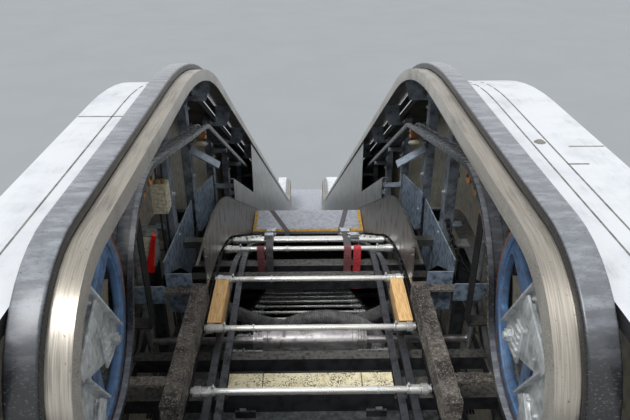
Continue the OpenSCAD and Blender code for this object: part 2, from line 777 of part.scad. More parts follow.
// Deflector plates beside the first steps, and the small plates fixed near them
deflector_x = 690;
module deflector_plates() {
  color("slategray") both_sides() {
    across(deflector_x, deflector_x + 6)
      polygon(moved([[-856, 112], [-856, 40], [-546, -124], [-316, -318], [-126, -318],
                     [-86, 45]], [nose_y, floor_z]));
    box(deflector_x + 6, truss_in + 40, 3250, 3310, chord_z, chord_z + 10);
    across(deflector_x, deflector_x + 6)
      polygon(moved([[4, -210], [144, -300], [714, -423], [724, -170], [4, 35]],
                    [nose_y, floor_z]));
    strip(slice(chord_top, nose_y + 204, nose_y + 264), seat, 10, deflector_x, truss_in + 40);
    box(684, truss_in - 2, 2620, 2626, 80, chord_z + 56);
    box(truss_in - 2, truss_in + 40, 2620, 2626, chord_z, chord_z + 56);
    box(beam_out, deflector_x, 2690, 2696, -23, 200);
    translate([0, 3720, 0]) rotate([90, 0, 0]) linear_extrude(90)
      polygon([[post_x, 430], [540, 330], [540, 322], [post_x, 420]]);
  }
}

// Comb beams on brackets from the truss, each with a slotted bar hung below
beam_in = chain_x - 6;
beam_out = chain_x + 66;
module comb_beams() {
  color("#5f5750") both_sides() {
    box(beam_in, beam_out, 1910, 2700, floor_z - 110, floor_z - 10);
    for (y = [2030, 2636]) box(beam_out, truss_in + 40, y, y + 50, chord_z, chord_z + 12);
    box(beam_out - 8, beam_out, 2195, 2245, -62, floor_z - 110);
    difference() {
      box(beam_out, 735, 2205, 2235, -62, -46);
      box(640, 700, 2214, 2226, -70, -40);
    }
  }
}

// Track rails with the turnaround guides, and the rail that carries the chain back
module track() {
  rail_line = concat(arc(upper_turn, turn_r, 250, 94), top_run, arc(lower_turn, turn_r, 86, -70));
  color("#3a3b40") {
    strip(rail_line, -wheel_r - seat - rail_h, -wheel_r - seat, wheel_rail_x, wheel_rail_x + rail_w);
    strip(slice(trail_path, trail_path[0][0], lower_turn_y - 72), -trail_r - seat - rail_h, -trail_r - seat, trail_rail_x, trail_rail_x + rail_w);
    strip(return_rail_low, 0, return_rail_h, chain_x + 2, chain_x + chain_w - 2);
  }
}
module track_left() { on_side(-1) track(); }
module track_right() { on_side(1) track(); }

// Step chain: outer links with pins, inner links with bored rollers
pin_r = 9;
link_gap = 0.3;
waist = 0.7;
module link_plate(a, b) {
  for (p = [a, b]) translate(p) circle(r = link_h / 2, $fn = 24);
  bar(a, b, link_h * waist);
}
module outer_link(a, b) {
  for (x = [chain_x, chain_x + chain_w - link_t])
    across(x, x + link_t) link_plate(a, b);
  for (p = [a, b]) rod(chain_x + link_t, chain_x + chain_w - link_t, p, pin_r);
}
module inner_link(a, b) {
  roller_x = chain_x + 2 * link_t + link_gap;
  difference() {
    union() {
      for (x = [chain_x + link_t + link_gap, chain_x + chain_w - 2 * link_t - link_gap])
        across(x, x + link_t) link_plate(a, b);
      for (p = [a, b])
        rod(roller_x, chain_x + chain_w - 2 * link_t - link_gap, p, roller_r);
    }
    for (p = [a, b]) rod(chain_x, chain_x + chain_w, p, pin_r + link_gap);
  }
}
module step_chain() {
  color("#26262a")
    for (k = [0 : step_count - 1]) {
      outer_link(at(axle_s(k)), at(axle_s(k) + link_pitch));
      inner_link(at(axle_s(k) + link_pitch), at(axle_s(k) + 2 * link_pitch));
    }
}
module step_chain_left() { on_side(-1) step_chain(); }
module step_chain_right() { on_side(1) step_chain(); }

// A step in its own frame: origin on the chain axle, nose towards +Y
rear = nose_ahead - step_pitch + step_gap;
riser_r = step_pitch - step_gap;
riser_low = axle_drop - step_pitch * sin(incline) - 4;
riser_turn = asin((axle_drop - riser_low) / riser_r);
riser_parts = 3;
yoke_x = 300;
yoke_t = 12;
trail_pin_r = 10;
module step_body() {
  riser_c = [rear, axle_drop];
  across(-step_half, step_half)
    polygon(concat(
      [[rear, axle_drop]],
      [for (i = [0 : riser_parts])
        riser_c + riser_r * [cos(riser_turn * i / riser_parts), -sin(riser_turn * i / riser_parts)]],
      [for (i = [riser_parts : -1 : 1])
        riser_c + (riser_r - riser_t)
          * [cos(riser_turn * i / riser_parts), -sin(riser_turn * i / riser_parts)]],
      [[riser_c[0] + sqrt(pow(riser_r - riser_t, 2) - pow(tread_t, 2)), axle_drop - tread_t],
       [rear, axle_drop - tread_t]]
    ));
  both_sides() {
    across(yoke_x, yoke_x + yoke_t)
      polygon([
        [rear + 20, axle_drop - tread_t / 2], [-16, -20],
        [trail_ahead, -trail_drop - 18], [trail_ahead + 16, -trail_drop],
        riser_c + (riser_r - riser_t / 2) * [cos(riser_turn - 2), -sin(riser_turn - 2)],
        [nose_ahead - 30, axle_drop - tread_t / 2]
      ]);
    rod(wheel_rail_x, wheel_rail_x + rail_w, [0, 0], wheel_r);
    rod(yoke_x + yoke_t, trail_rail_x, [trail_ahead, -trail_drop], trail_pin_r);
    rod(trail_rail_x, trail_rail_x + rail_w, [trail_ahead, -trail_drop], trail_r);
  }
  rod(-chain_x, chain_x, [0, 0], axle_r);
}
module step_at(s) {
  p = at(s);
  translate([0, p[0], p[1]]) rotate([step_turn(s), 0, 0]) step_body();
}
top_steps = floor((top_length - first_s) / (2 * link_pitch));
last_step = step_count - bare_axle_count - 1;
module steps() {
  color("#a9adb8") for (k = [0 : top_steps]) step_at(axle_s(k));
}
module return_steps() {
  color("#8e929c") for (k = [top_steps + 1 : last_step]) step_at(axle_s(k));
}
collar_r = 24;
module bare_axles() {
  color("gainsboro")
    for (k = [last_step + 1 : step_count - 1]) {
      p = at(axle_s(k));
      rod(-chain_x, chain_x, p, axle_r);
      both_sides() {
        rod(wheel_rail_x + rail_w + 4, wheel_rail_x + rail_w + 30, p, collar_r);
        rod(wheel_rail_x - 10, wheel_rail_x + rail_w, p, 20);
      }
    }
}

// Equipment left in the pit
cross_tube_c = [2800, -302];
hanger_x = post_in - side_member_t - 10;
module cross_tube() {
  color("lightslategray") {
    rod(-245, 245, cross_tube_c, 64);
    both_sides() {
      rod(225, 245, cross_tube_c, 68);
      rod(245, 300, cross_tube_c, 50);
      rod(300, hanger_x, cross_tube_c, 20);
      box(hanger_x, hanger_x + 10, 2760, 2840, cross_tube_c[1] - 40, beam_top - 20);
    }
  }
}

// One hose stands in an arch on the pan of the pit, the other hangs slack between two sockets
hose_x = 90;
hose_y = 3260;
hose_r = 43;
arch_r = 440;
shoulder_r = 120;
arch_z = -508 - arch_r;
shoulder = [(arch_r - shoulder_r) * cos(45), arch_z + (arch_r - shoulder_r) * sin(45)];
pan_z = lookup(hose_y - hose_r, shifted(chord_low, 6)) + seat;
module hose_arc(r, a0, sweep) {
  rotate([90, 0, 0]) rotate(a0)
    rotate_extrude(angle = sweep, $fn = 48) translate([r, 0]) circle(r = hose_r, $fn = 24);
}
module air_hose() {
  color("#3b3a3a") {
    translate([hose_x, hose_y, 0]) {
      translate([0, 0, arch_z]) hose_arc(arch_r, 45, 90);
      both_sides() {
        translate([shoulder[0], 0, shoulder[1]]) hose_arc(shoulder_r, 0, 45);
        translate([shoulder[0] + shoulder_r, 0, pan_z])
          cylinder(h = shoulder[1] - pan_z, r = hose_r, $fn = 24);
      }
    }
    translate([0, slack_y, slack_z])
      hose_arc(slack_r, 180 + slack_angle, 180 - 2 * slack_angle);
  }
}
module timber_blocks() {
  color("burlywood") both_sides()
    box(wheel_rail_x + 2, chain_x - 6, at(axle_s(step_count - 7))[0] + collar_r + 1,
        at(axle_s(step_count - 6))[0] - collar_r - 1,
        floor_z + axle_up - wheel_r - seat + 0.1, floor_z - 150);
}
module pit_boards() {
  color("wheat")
    for (x = [[-372, -218], [-217, 231], [232, 372]])
      box(x[0], x[1], pit_beams[0][0] + 10, pit_beams[0][0] + pit_beams[0][1],
          beam_top + 0.1, beam_top + 30);
}
strap_w = 44;
module lashing_straps() {
  y0 = first_nose_y - step_pitch + step_gap + 4;
  z = incline_z(first_nose_y, 0) + 0.2;
  color("#3a3034")
    for (x = [[-342, -189], [361, 288]])
      translate([0, 0, z]) linear_extrude(3)
        polygon([[x[0] - strap_w / 2, first_nose_y - 4], [x[0] + strap_w / 2, first_nose_y - 4],
                 [x[1] + strap_w / 2, y0], [x[1] - strap_w / 2, y0]]);
}
module junction_box() {
  color("antiquewhite") on_side(-1) {
    box(post_x + 2, post_x + 74, post_stations[0] - 130, post_stations[0] - 40, 392, 540);
  }
}
module guard_switch() {
  color("gray") on_side(-1) {
    box(758, 836, 2800, 2900, 172, 350);
    box(836, truss_out, 2840, 2860, 240, 260);
  }
}
module switch_guard() {
  color("crimson") on_side(-1)
    translate([0, 2799.8, 0]) rotate([90, 0, 0]) linear_extrude(24)
      polygon([[764, 152], [856, 152], [856, 186], [806, 190], [782, 250], [752, 366],
               [736, 358], [752, 270], [762, 200]]);
}

// Hanging chain of interlocked links
link_wire = 4;
link_straight = 24;
link_bow = 9.5;
hang_from = [714, 3012, 300];
hang_to = [806, 2644, 160];
hang_sag = 60;
hang_parts = 40;
function hang_at(t) = hang_from + (hang_to - hang_from) * t - [0, 0, hang_sag * 4 * t * (1 - t)];
hang_points = [for (i = [0 : hang_parts]) hang_at(i / hang_parts)];
hang_s = lengths(hang_points);
hang_length = hang_s[hang_parts];
link_step = link_straight + 2 * link_bow - 2 * link_wire - 0.6;
hang_links = 2 * ceil(hang_length / link_step / 2) + 1;
hang_peg_r = 3.5;
function hang_point(s) = hang_at(lookup(s, [for (i = [0 : hang_parts]) [hang_s[i], i / hang_parts]]));
module round_link() {
  for (s = [-1, 1]) {
    translate([s * link_straight / 2, 0, 0]) rotate([0, 0, s * 90 - 180])
      rotate_extrude(angle = 180, $fn = 24) translate([link_bow, 0]) circle(r = link_wire, $fn = 13);
    translate([-link_straight / 2, s * link_bow, 0]) rotate([0, 90, 0])
      cylinder(h = link_straight, r = link_wire, $fn = 13);
  }
}
module hanging_peg(p, y) {
  rod(p[0] - 12, p[0] + 12, [p[1], p[2]], hang_peg_r);
  box(p[0] + 10, p[0] + 16, min(p[1], y), max(p[1], y), p[2] - 5, p[2] + 5);
}
module hanging_chain() {
  color("#1c1c1e") {
    hanging_peg(hang_from, 3029.8);
    hanging_peg(hang_to, 2626.2);
    for (k = [0 : hang_links - 1]) {
      a = hang_point(hang_length * k / hang_links);
      b = hang_point(hang_length * (k + 1) / hang_links);
      d = b - a;
      translate((a + b) / 2)
        rotate([90 * ((k + 1) % 2), -atan2(d[2], norm([d[0], d[1]])), atan2(d[1], d[0])])
          round_link();
    }
  }
}

// Landing plates
plate_t = 24;
module lower_comb_plate() {
  color("silver") {
    box(-skirt_x, skirt_x, comb_y, comb_y + 400, low_z - plate_t, low_z);
    both_sides()
      box(skirt_x, truss_in + 40, comb_lug_y, comb_y + 400, low_z - tread_sink, low_z);
  }
}
module floor_plate(y0, y1, z) {
  top_t = 10;
  box(-truss_out, truss_out, y0, y1, z - top_t, z);
  both_sides() box(truss_in - 20, truss_out, y0, y1, z - tread_sink, z - top_t);
}
module floor_plates() {
  color("gray") {
    floor_plate(comb_y + 401, end_y - bearing_w / 2, low_z);
    floor_plate(bearing_w / 2 + 5, 1100, floor_z);
  }
}

bearing_angles();
truss_left();
truss_right();
truss_cross_members();
pit_frame();
soffit_pan();
side_sheets();
outer_deck_left();
outer_deck_right();
handrail_left();
handrail_right();
guide_band_left();
guide_band_right();
handrail_wheel_left();
handrail_wheel_right();
wheel_tyre_left();
wheel_tyre_right();
newel_brackets();
return_guides();
guide_rollers();
inner_panel_left();
inner_panel_right();
skirt_left();
skirt_right();
balustrade_posts();
deflector_plates();
comb_beams();
track_left();
track_right();
step_chain_left();
step_chain_right();
steps();
return_steps();
bare_axles();
cross_tube();
air_hose();
timber_blocks();
pit_boards();
lashing_straps();
junction_box();
guard_switch();
switch_guard();
hanging_chain();
lower_comb_plate();
floor_plates();
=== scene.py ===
# %% [markdown]
# Escalator opened for repair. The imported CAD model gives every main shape, and this lesson
# dresses it: each steel, rubber and painted surface gets its own finish, and the small things
# that a drawing leaves out, such as bolts, cleats, hoses and ratchets, are modelled here.

# %% Load the frame
import math
import random

import bmesh
import bpy
from mathutils import Matrix, Vector, noise


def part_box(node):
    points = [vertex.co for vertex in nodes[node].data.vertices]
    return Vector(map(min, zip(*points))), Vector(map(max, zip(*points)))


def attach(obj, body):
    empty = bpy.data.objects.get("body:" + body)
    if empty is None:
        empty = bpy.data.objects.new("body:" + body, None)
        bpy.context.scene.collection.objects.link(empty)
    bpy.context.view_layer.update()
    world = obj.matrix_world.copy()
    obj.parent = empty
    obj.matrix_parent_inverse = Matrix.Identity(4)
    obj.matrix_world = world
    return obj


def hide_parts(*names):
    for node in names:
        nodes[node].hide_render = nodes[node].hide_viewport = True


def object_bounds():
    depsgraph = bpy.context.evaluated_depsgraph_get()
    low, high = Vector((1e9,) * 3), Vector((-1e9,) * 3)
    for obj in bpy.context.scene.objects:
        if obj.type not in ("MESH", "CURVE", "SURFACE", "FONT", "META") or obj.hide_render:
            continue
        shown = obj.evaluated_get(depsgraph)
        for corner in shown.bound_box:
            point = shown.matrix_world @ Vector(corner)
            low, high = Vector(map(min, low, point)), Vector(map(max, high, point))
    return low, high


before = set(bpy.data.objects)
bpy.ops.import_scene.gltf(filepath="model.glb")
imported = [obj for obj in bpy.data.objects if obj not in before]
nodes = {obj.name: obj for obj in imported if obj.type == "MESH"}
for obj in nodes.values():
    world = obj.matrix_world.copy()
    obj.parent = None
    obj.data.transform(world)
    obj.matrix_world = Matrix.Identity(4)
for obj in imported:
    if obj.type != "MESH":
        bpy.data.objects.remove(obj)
cad_box = [list(corner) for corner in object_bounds()]
print("nodes", len(nodes), "box", cad_box)

# %% [markdown]
# The picture was taken from just behind the upper bearing at head height, looking down the
# incline. The camera stands there, 28 degrees down, with the lens worked out from lines that
# run along the tracks. The world gives most of the light, as an overcast sky does, and a soft
# sun adds the shadows. Surfaces are lit a little more than the sky looks. A grey floor far
# below closes the view.

# %% Camera, light and floor
camera = bpy.data.objects.new("camera", bpy.data.cameras.new("camera"))
camera.data.lens = 35.0
camera.data.sensor_width = 36.0
camera.data.clip_end = 200
camera.location = (-0.015, 0.25, 1.85)
camera.rotation_euler = (math.radians(90 - 28.2), 0, math.radians(-0.93))
bpy.context.scene.collection.objects.link(camera)
bpy.context.scene.camera = camera

sun = bpy.data.objects.new("sky_light", bpy.data.lights.new("sky_light", "SUN"))
sun.data.energy = 2.1
sun.data.angle = math.radians(25)
sun.rotation_euler = (math.radians(24), math.radians(-20), 0)
bpy.context.scene.collection.objects.link(sun)


def linear(hex_colour):
    """An sRGB hex colour as the linear red, green, blue and alpha of a socket."""
    levels = [int(hex_colour[i : i + 2], 16) / 255 for i in (1, 3, 5)]
    return [v / 12.92 if v <= 0.04045 else ((v + 0.055) / 1.055) ** 2.4 for v in levels] + [1.0]


def add(tree, kind, settings, inputs):
    """Adds one node. An input is a plain value, or the output socket that feeds it."""
    node = tree.nodes.new(kind)
    for name, value in settings.items():
        setattr(node, name, value)
    for name, value in inputs.items():
        if isinstance(value, bpy.types.NodeSocket):
            tree.links.new(value, node.inputs[name])
        else:
            node.inputs[name].default_value = value
    return node


PALE_SKY = "#eceef0"
sky = bpy.data.worlds.new("overcast")
sky.use_nodes = True
bpy.context.scene.world = sky
rays = add(sky.node_tree, "ShaderNodeLightPath", {}, {})
looked_at = add(
    sky.node_tree,
    "ShaderNodeMath",
    {"operation": "MAXIMUM"},
    {0: rays.outputs["Is Camera Ray"], 1: rays.outputs["Is Transmission Ray"]},
)
level = add(
    sky.node_tree,
    "ShaderNodeMapRange",
    {},
    {"Value": looked_at.outputs[0], "To Min": 1.05, "To Max": 1.0},
)
background = sky.node_tree.nodes["Background"]
background.inputs["Color"].default_value = linear(PALE_SKY)
sky.node_tree.links.new(level.outputs[0], background.inputs["Strength"])

bpy.context.scene.view_settings.view_transform = "Standard"

# %% [markdown]
# Every surface is a Principled shader fed by patterns on Object coordinates. A pattern is
# noise whose patches have a real size in millimetres. It may run along one axis, as brushing,
# streaks and wood grain do. Colours are laid over each other where their patterns are strong.


# %% Surfaces
def surface(name, metallic, roughness):
    """A new material with its shader's plain values set."""
    material = bpy.data.materials.new(name)
    material.use_nodes = True
    shader = material.node_tree.nodes["Principled BSDF"]
    shader.inputs["Metallic"].default_value = metallic
    shader.inputs["Roughness"].default_value = roughness
    return material


def pattern(material, size_mm, low, high, run=(1, 1, 1), detail=4):
    """Noise patches of a size, as a share from 0 to 1. A small number in run stretches them."""
    tree = material.node_tree
    place = add(tree, "ShaderNodeTexCoord", {}, {})
    turn = add(tree, "ShaderNodeMapping", {}, {"Vector": place.outputs["Object"], "Scale": run})
    noise = add(
        tree,
        "ShaderNodeTexNoise",
        {},
        {"Vector": turn.outputs[0], "Scale": 1000 / size_mm, "Detail": detail, "Roughness": 0.6},
    )
    share = add(
        tree,
        "ShaderNodeMapRange",
        {"interpolation_type": "SMOOTHSTEP"},
        {"Value": noise.outputs[0], "From Min": low, "From Max": high},
    )
    return share.outputs[0]


def looking_up(material, low, high):
    """How much a face looks up, as a share from 0 to 1: where dust settles, and, taken from 1,
    where the decks get painted shade.
    """
    tree = material.node_tree
    face = add(tree, "ShaderNodeNewGeometry", {}, {})
    parts = add(tree, "ShaderNodeSeparateXYZ", {}, {0: face.outputs["Normal"]})
    share = add(
        tree,
        "ShaderNodeMapRange",
        {"interpolation_type": "SMOOTHSTEP"},
        {"Value": parts.outputs["Z"], "From Min": low, "From Max": high},
    )
    return share.outputs[0]


def edges(material, width_mm, strength=1.0):
    """Where the surface turns a corner within a width, as a share from 0 to 1."""
    tree = material.node_tree
    face = add(tree, "ShaderNodeNewGeometry", {}, {})
    soft = add(tree, "ShaderNodeBevel", {"samples": 4}, {"Radius": width_mm / 1000})
    alike = add(
        tree,
        "ShaderNodeVectorMath",
        {"operation": "DOT_PRODUCT"},
        {0: face.outputs["Normal"], 1: soft.outputs[0]},
    )
    share = add(
        tree,
        "ShaderNodeMapRange",
        {},
        {"Value": alike.outputs["Value"], "From Min": 0.98, "From Max": 0.8, "To Max": strength},
    )
    return share.outputs[0]


def both(material, one, other):
    """One share times another."""
    tree = material.node_tree
    return add(tree, "ShaderNodeMath", {"operation": "MULTIPLY"}, {0: one, 1: other}).outputs[0]


def layers(material, base, coats):
    """Colours the material: each coat is a hex colour and the share that it covers."""
    tree = material.node_tree
    colour = linear(base)
    for shade, share in coats:
        mix = add(
            tree, "ShaderNodeMix", {"data_type": "RGBA"}, {0: share, 6: colour, 7: linear(shade)}
        )
        colour = mix.outputs[2]
    tree.links.new(colour, tree.nodes["Principled BSDF"].inputs["Base Color"])


def gloss(material, share, low, high):
    """Roughness runs from low to high as the share does."""
    tree = material.node_tree
    rough = add(tree, "ShaderNodeMapRange", {}, {"Value": share, "To Min": low, "To Max": high})
    tree.links.new(rough.outputs[0], tree.nodes["Principled BSDF"].inputs["Roughness"])


def relief(material, share, depth_mm, strength=1.0):
    """Raises the surface by a depth where the share is 1."""
    tree = material.node_tree
    bump = add(
        tree,
        "ShaderNodeBump",
        {},
        {"Height": share, "Distance": depth_mm / 1000, "Strength": strength},
    )
    tree.links.new(bump.outputs[0], tree.nodes["Principled BSDF"].inputs["Normal"])


def dress(material, *names):
    """Gives CAD nodes their material."""
    for name in names:
        slots = nodes[name].data.materials
        slots.clear()
        slots.append(material)


floor_paint = surface("matt_floor_paint", 0.0, 0.95)
layers(floor_paint, "#8f9396", [("#8c9093", pattern(floor_paint, 4000, 0.3, 0.7))])
bpy.ops.mesh.primitive_grid_add(size=120, x_subdivisions=4, y_subdivisions=4)
floor = bpy.context.object
floor.name = "studio_floor"
floor.location = (0, 10, cad_box[0][2] - 0.002)
floor.data.materials.append(floor_paint)
print("floor at", round(floor.location.z, 3))

# %% [markdown]
# The structure is hot-rolled steel that was primed grey and has stood in oil mist and street
# dust for years. Rolled steel is a metal under paint, so its shader is mostly matt, with
# patches of brown rust where water stood, pale dust on what looks up and rubbed bright edges.


# %% Old painted steel
def old_steel(name, base, dark, dust, rust, metallic=0.3, patch_mm=60, rubbed="#85888a"):
    """Painted rolled steel with dirt patches, rust spots, settled dust and rubbed edges."""
    steel = surface(name, metallic, 0.6)
    dirt = pattern(steel, patch_mm, 0.4, 0.66, detail=8)
    spots = pattern(steel, 14, 0.6, 0.7, detail=6)
    grit = pattern(steel, 3, 0.3, 0.75)
    dusty = both(steel, looking_up(steel, 0.6, 0.98), pattern(steel, 22, 0.3, 0.6, detail=8))
    layers(
        steel,
        base,
        [(dark, dirt), (rust, spots), (dust, dusty), (rubbed, edges(steel, 2.0, 0.5))],
    )
    gloss(steel, grit, 0.45, 0.8)
    relief(steel, grit, 0.5)
    return steel


bearing_steel = old_steel("primed_bearing_steel", "#565a5e", "#3a3b3c", "#8c8880", "#5a4334")
truss_steel = old_steel("primed_truss_steel", "#4c5157", "#2c2f33", "#6d6b66", "#4a3a30")
pit_steel = old_steel("oily_pit_steel", "#34353a", "#191a1d", "#65635e", "#382d26")
post_steel = old_steel("primed_post_steel", "#7f8994", "#4c535b", "#8f8e87", "#5d4f45")
plate_steel = old_steel(
    "primed_plate_steel", "#8797aa", "#4b5867", "#98a1a9", "#4d545d", 0.3, 34, "#c4cdd6"
)
guide_steel = old_steel("black_guide_steel", "#232427", "#101113", "#45433f", "#33271e")
dress(bearing_steel, "bearing_angles")
dress(truss_steel, "truss_left", "truss_right")
dress(pit_steel, "truss_cross_members", "pit_frame")
dress(post_steel, "balustrade_posts")
dress(plate_steel, "deflector_plates")
dress(guide_steel, "return_guides")

# %% [markdown]
# Zinc-coated sheet is dull and cool, with pale white rust that has run down in streaks. The
# brackets in the newels, the pan under the truss and the outside sheets are made of it.


# %% Zinc-coated sheet
def zinc_sheet(name, base, pale, dirt, streak_mm=14, metallic=0.5):
    """Galvanised sheet: cloudy zinc, white streaks that run down, dirt where dust sticks."""
    zinc = surface(name, metallic, 0.5)
    cloud = pattern(zinc, 40, 0.4, 0.7, detail=8)
    streaks = pattern(zinc, streak_mm, 0.52, 0.7, (1, 1, 0.16), 6)
    smuts = pattern(zinc, 55, 0.56, 0.72, detail=8)
    layers(
        zinc,
        base,
        [(dirt, smuts), (pale, streaks), ("#8f9293", cloud), ("#dcdfdf", edges(zinc, 1.5, 0.8))],
    )
    gloss(zinc, cloud, 0.4, 0.65)
    relief(zinc, streaks, 0.3)
    return zinc


galvanised = zinc_sheet("galvanised_bracket_sheet", "#bcc0c1", "#e2e4e4", "#8e9091", 14, 0.3)
soffit_zinc = zinc_sheet("galvanised_soffit_sheet", "#5e6263", "#787b7a", "#343230", 40)
side_zinc = zinc_sheet("primed_side_sheet", "#b8af99", "#cdc6b3", "#7d7059", 60, 0.15)
dress(soffit_zinc, "soffit_pan")
dress(side_zinc, "side_sheets")

# %% [markdown]
# Stainless steel is brushed along its length, and years of hands and shoes keep it bright.
# Brushing is very fine, so it is drawn ten times as coarse. It shows as faint lines that
# widen the reflections. The band's lines follow the rail, so they change across X alone.


# %% Brushed stainless steel
def stainless(
    name, base, shade, across, smear, rough=(0.3, 0.45), grime="#85827c", metallic=1.0
):
    """Brushed stainless steel. across says along which axis the brush lines change."""
    steel = surface(name, metallic, 0.35)
    lines = pattern(steel, 3, 0.3, 0.7, across, 2)
    smears = pattern(steel, 70, 0.46, 0.7, smear, 6)
    spots = pattern(steel, 9, 0.64, 0.72)
    layers(steel, base, [(shade, lines), (grime, both(steel, smears, lines)), ("#77746d", spots)])
    gloss(steel, smears, *rough)
    relief(steel, lines, 0.04, 0.3)
    return steel


band_steel = stainless(
    "brushed_band_stainless", "#b9b2a7", "#9f988d", (1, 0.02, 0.02), (1, 0.3, 0.3)
)
# Painted light: a paler, part-metal copy of the band steel gives the inward lip a flat grey look.
lip_painted_grey_steel = stainless(
    "lip_stainless_painted_grey", "#c4c0b8", "#a9a59d", (0.02, 1, 1), (1, 0.3, 0.3), metallic=0.4
)
panel_steel = stainless(
    "brushed_panel_stainless", "#b9bbb9", "#a3a5a2", (0.02, 0.02, 1), (1, 1, 0.5)
)
skirt_steel = stainless(
    "scuffed_skirt_stainless", "#a5a39e", "#8c8a85", (0.02, 1, 0.04), (1, 1, 0.6),
    (0.35, 0.6), "#6f675c",
)
dress(panel_steel, "inner_panel_left", "inner_panel_right")
dress(skirt_steel, "skirt_left", "skirt_right")

# %% [markdown]
# The outer decks are coated aluminium, nearly white, walked on by cleaners and rained on.
# Dirt lies in streaks along the deck and in grey clouds, and the finish is matt. Faces that
# don't look up are painted nearly black: this is painted shade for the sides that lie in shadow.

# %% Coated aluminium decks
deck_paint = surface("coated_deck_aluminium", 0.1, 0.55)
deck_clouds = pattern(deck_paint, 160, 0.42, 0.75, detail=8)
deck_streaks = pattern(deck_paint, 16, 0.5, 0.75, (1, 0.08, 1))
deck_grit = pattern(deck_paint, 3, 0.6, 0.75)
# Painted shade: faces that don't look up are made nearly black.
deck_painted_shade = add(
    deck_paint.node_tree,
    "ShaderNodeMath",
    {"operation": "SUBTRACT"},
    {0: 1.0, 1: looking_up(deck_paint, 0.2, 0.6)},
).outputs[0]
layers(
    deck_paint,
    "#d3d6da",
    [("#c0c4c9", deck_clouds), ("#a9acae", both(deck_paint, deck_streaks, deck_clouds)),
     ("#9c9b95", deck_grit), ("#2b2b2c", deck_painted_shade)],
)
gloss(deck_paint, deck_clouds, 0.45, 0.7)
relief(deck_paint, deck_grit, 0.2)
dress(deck_paint, "outer_deck_left", "outer_deck_right")

# %% [markdown]
# The handrail is moulded black rubber over cord. Its face has worn grey and pale in blotches
# that lie across the belt, and the lips, which nothing rubs, have stayed black.

# %% Worn rubber handrail
handrail_rubber = surface("worn_handrail_rubber", 0.0, 0.5)
blotches = pattern(handrail_rubber, 30, 0.38, 0.75, (0.35, 1, 1), 6)
scuffs = pattern(handrail_rubber, 4, 0.56, 0.7, (0.5, 1, 1))
rubber_grain = pattern(handrail_rubber, 1.5, 0.3, 0.7)
outward = looking_up(handrail_rubber, 0.45, 0.97)
layers(
    handrail_rubber,
    "#222325",
    [("#6e7177", outward), ("#93969c", both(handrail_rubber, outward, blotches)),
     ("#55585d", scuffs)],
)
gloss(handrail_rubber, blotches, 0.24, 0.36)
relief(handrail_rubber, rubber_grain, 0.05)

# %% [markdown]
# The drive wheels are cast iron under mid-blue machine enamel, which is glossy where it is
# clean and duller where oily dust lies in patches. Their tyres are orange-brown polyurethane.

# %% Enamel, polyurethane and other mouldings
wheel_enamel = surface("blue_machine_enamel", 0.0, 0.4)
enamel_dust = pattern(wheel_enamel, 30, 0.42, 0.7, detail=8)
cast_skin = pattern(wheel_enamel, 4, 0.3, 0.7)
layers(
    wheel_enamel,
    "#54749b",
    [("#42597a", enamel_dust), ("#56595e", both(wheel_enamel, enamel_dust, cast_skin)),
     ("#90aac8", edges(wheel_enamel, 2, 0.6))],
)
gloss(wheel_enamel, enamel_dust, 0.3, 0.6)
relief(wheel_enamel, cast_skin, 0.4)


def moulding(name, base, shade, rough, patch_mm=40, grain_mm=2):
    """A moulded plastic or rubber: faint clouds and a fine moulded grain."""
    plastic = surface(name, 0.0, rough)
    clouds = pattern(plastic, patch_mm, 0.4, 0.65, detail=8)
    grain = pattern(plastic, grain_mm, 0.35, 0.7)
    layers(plastic, base, [(shade, clouds)])
    gloss(plastic, clouds, rough - 0.1, rough + 0.15)
    relief(plastic, grain, 0.15)
    return plastic


tyre_rubber = moulding("worn_polyurethane_tyre", "#a5652d", "#6f4220", 0.45)
cream_enamel = moulding("cream_box_enamel", "#d3cdb9", "#aaa28b", 0.45, 18)
switch_plastic = moulding("grey_switch_plastic", "#8a8d8c", "#5f605d", 0.5, 20)
guard_enamel = moulding("red_guard_enamel", "#e0201b", "#b01512", 0.35)
hose_rubber = moulding("corrugated_hose_rubber", "#8c8a8b", "#6d6b6c", 0.4)
grey_web = moulding("grey_woven_strap", "#4d484b", "#6a6469", 0.8, 12, 1.5)
red_web = moulding("red_woven_strap", "#d04348", "#a82f38", 0.75, 12, 1.5)
faded_web = moulding("faded_red_strap", "#8d5357", "#6c4145", 0.8, 12, 1.5)
yellow_insert = moulding("yellow_tread_insert", "#c89b28", "#9a7620", 0.55, 25)
roller_nylon = moulding("cream_roller_nylon", "#b8ad94", "#857a63", 0.45, 12)
black_cable = moulding("black_cable_sheath", "#1d1d1f", "#2c2c2e", 0.45)
dress(tyre_rubber, "wheel_tyre_left", "wheel_tyre_right")
dress(moulding("polyurethane_roller", "#b0702f", "#7d4d22", 0.4), "guide_rollers")
dress(cream_enamel, "junction_box")
dress(switch_plastic, "guard_switch")
dress(guard_enamel, "switch_guard")

# %% [markdown]
# Rails, chains and axles are bare steel. The rails and chains are black with oil, with a
# bright line where the wheels run. The spare axles are turned and have stayed bright.


# %% Bare machine steel
def machine_steel(name, base, dirt, rough, spread, edge="#9a9b9b", metallic=0.8):
    """Bare steel that oil keeps from rusting, with dirt stuck in clouds and worn edges."""
    steel = surface(name, metallic, rough)
    film = pattern(steel, spread, 0.45, 0.7, detail=8)
    grit = pattern(steel, 4, 0.45, 0.75)
    grime = both(steel, grit, film)
    layers(steel, base, [(dirt, film), (dirt, grime), (edge, edges(steel, 2, 0.7))])
    gloss(steel, film, rough - 0.08, rough + 0.25)
    relief(steel, grit, 0.1)
    return steel


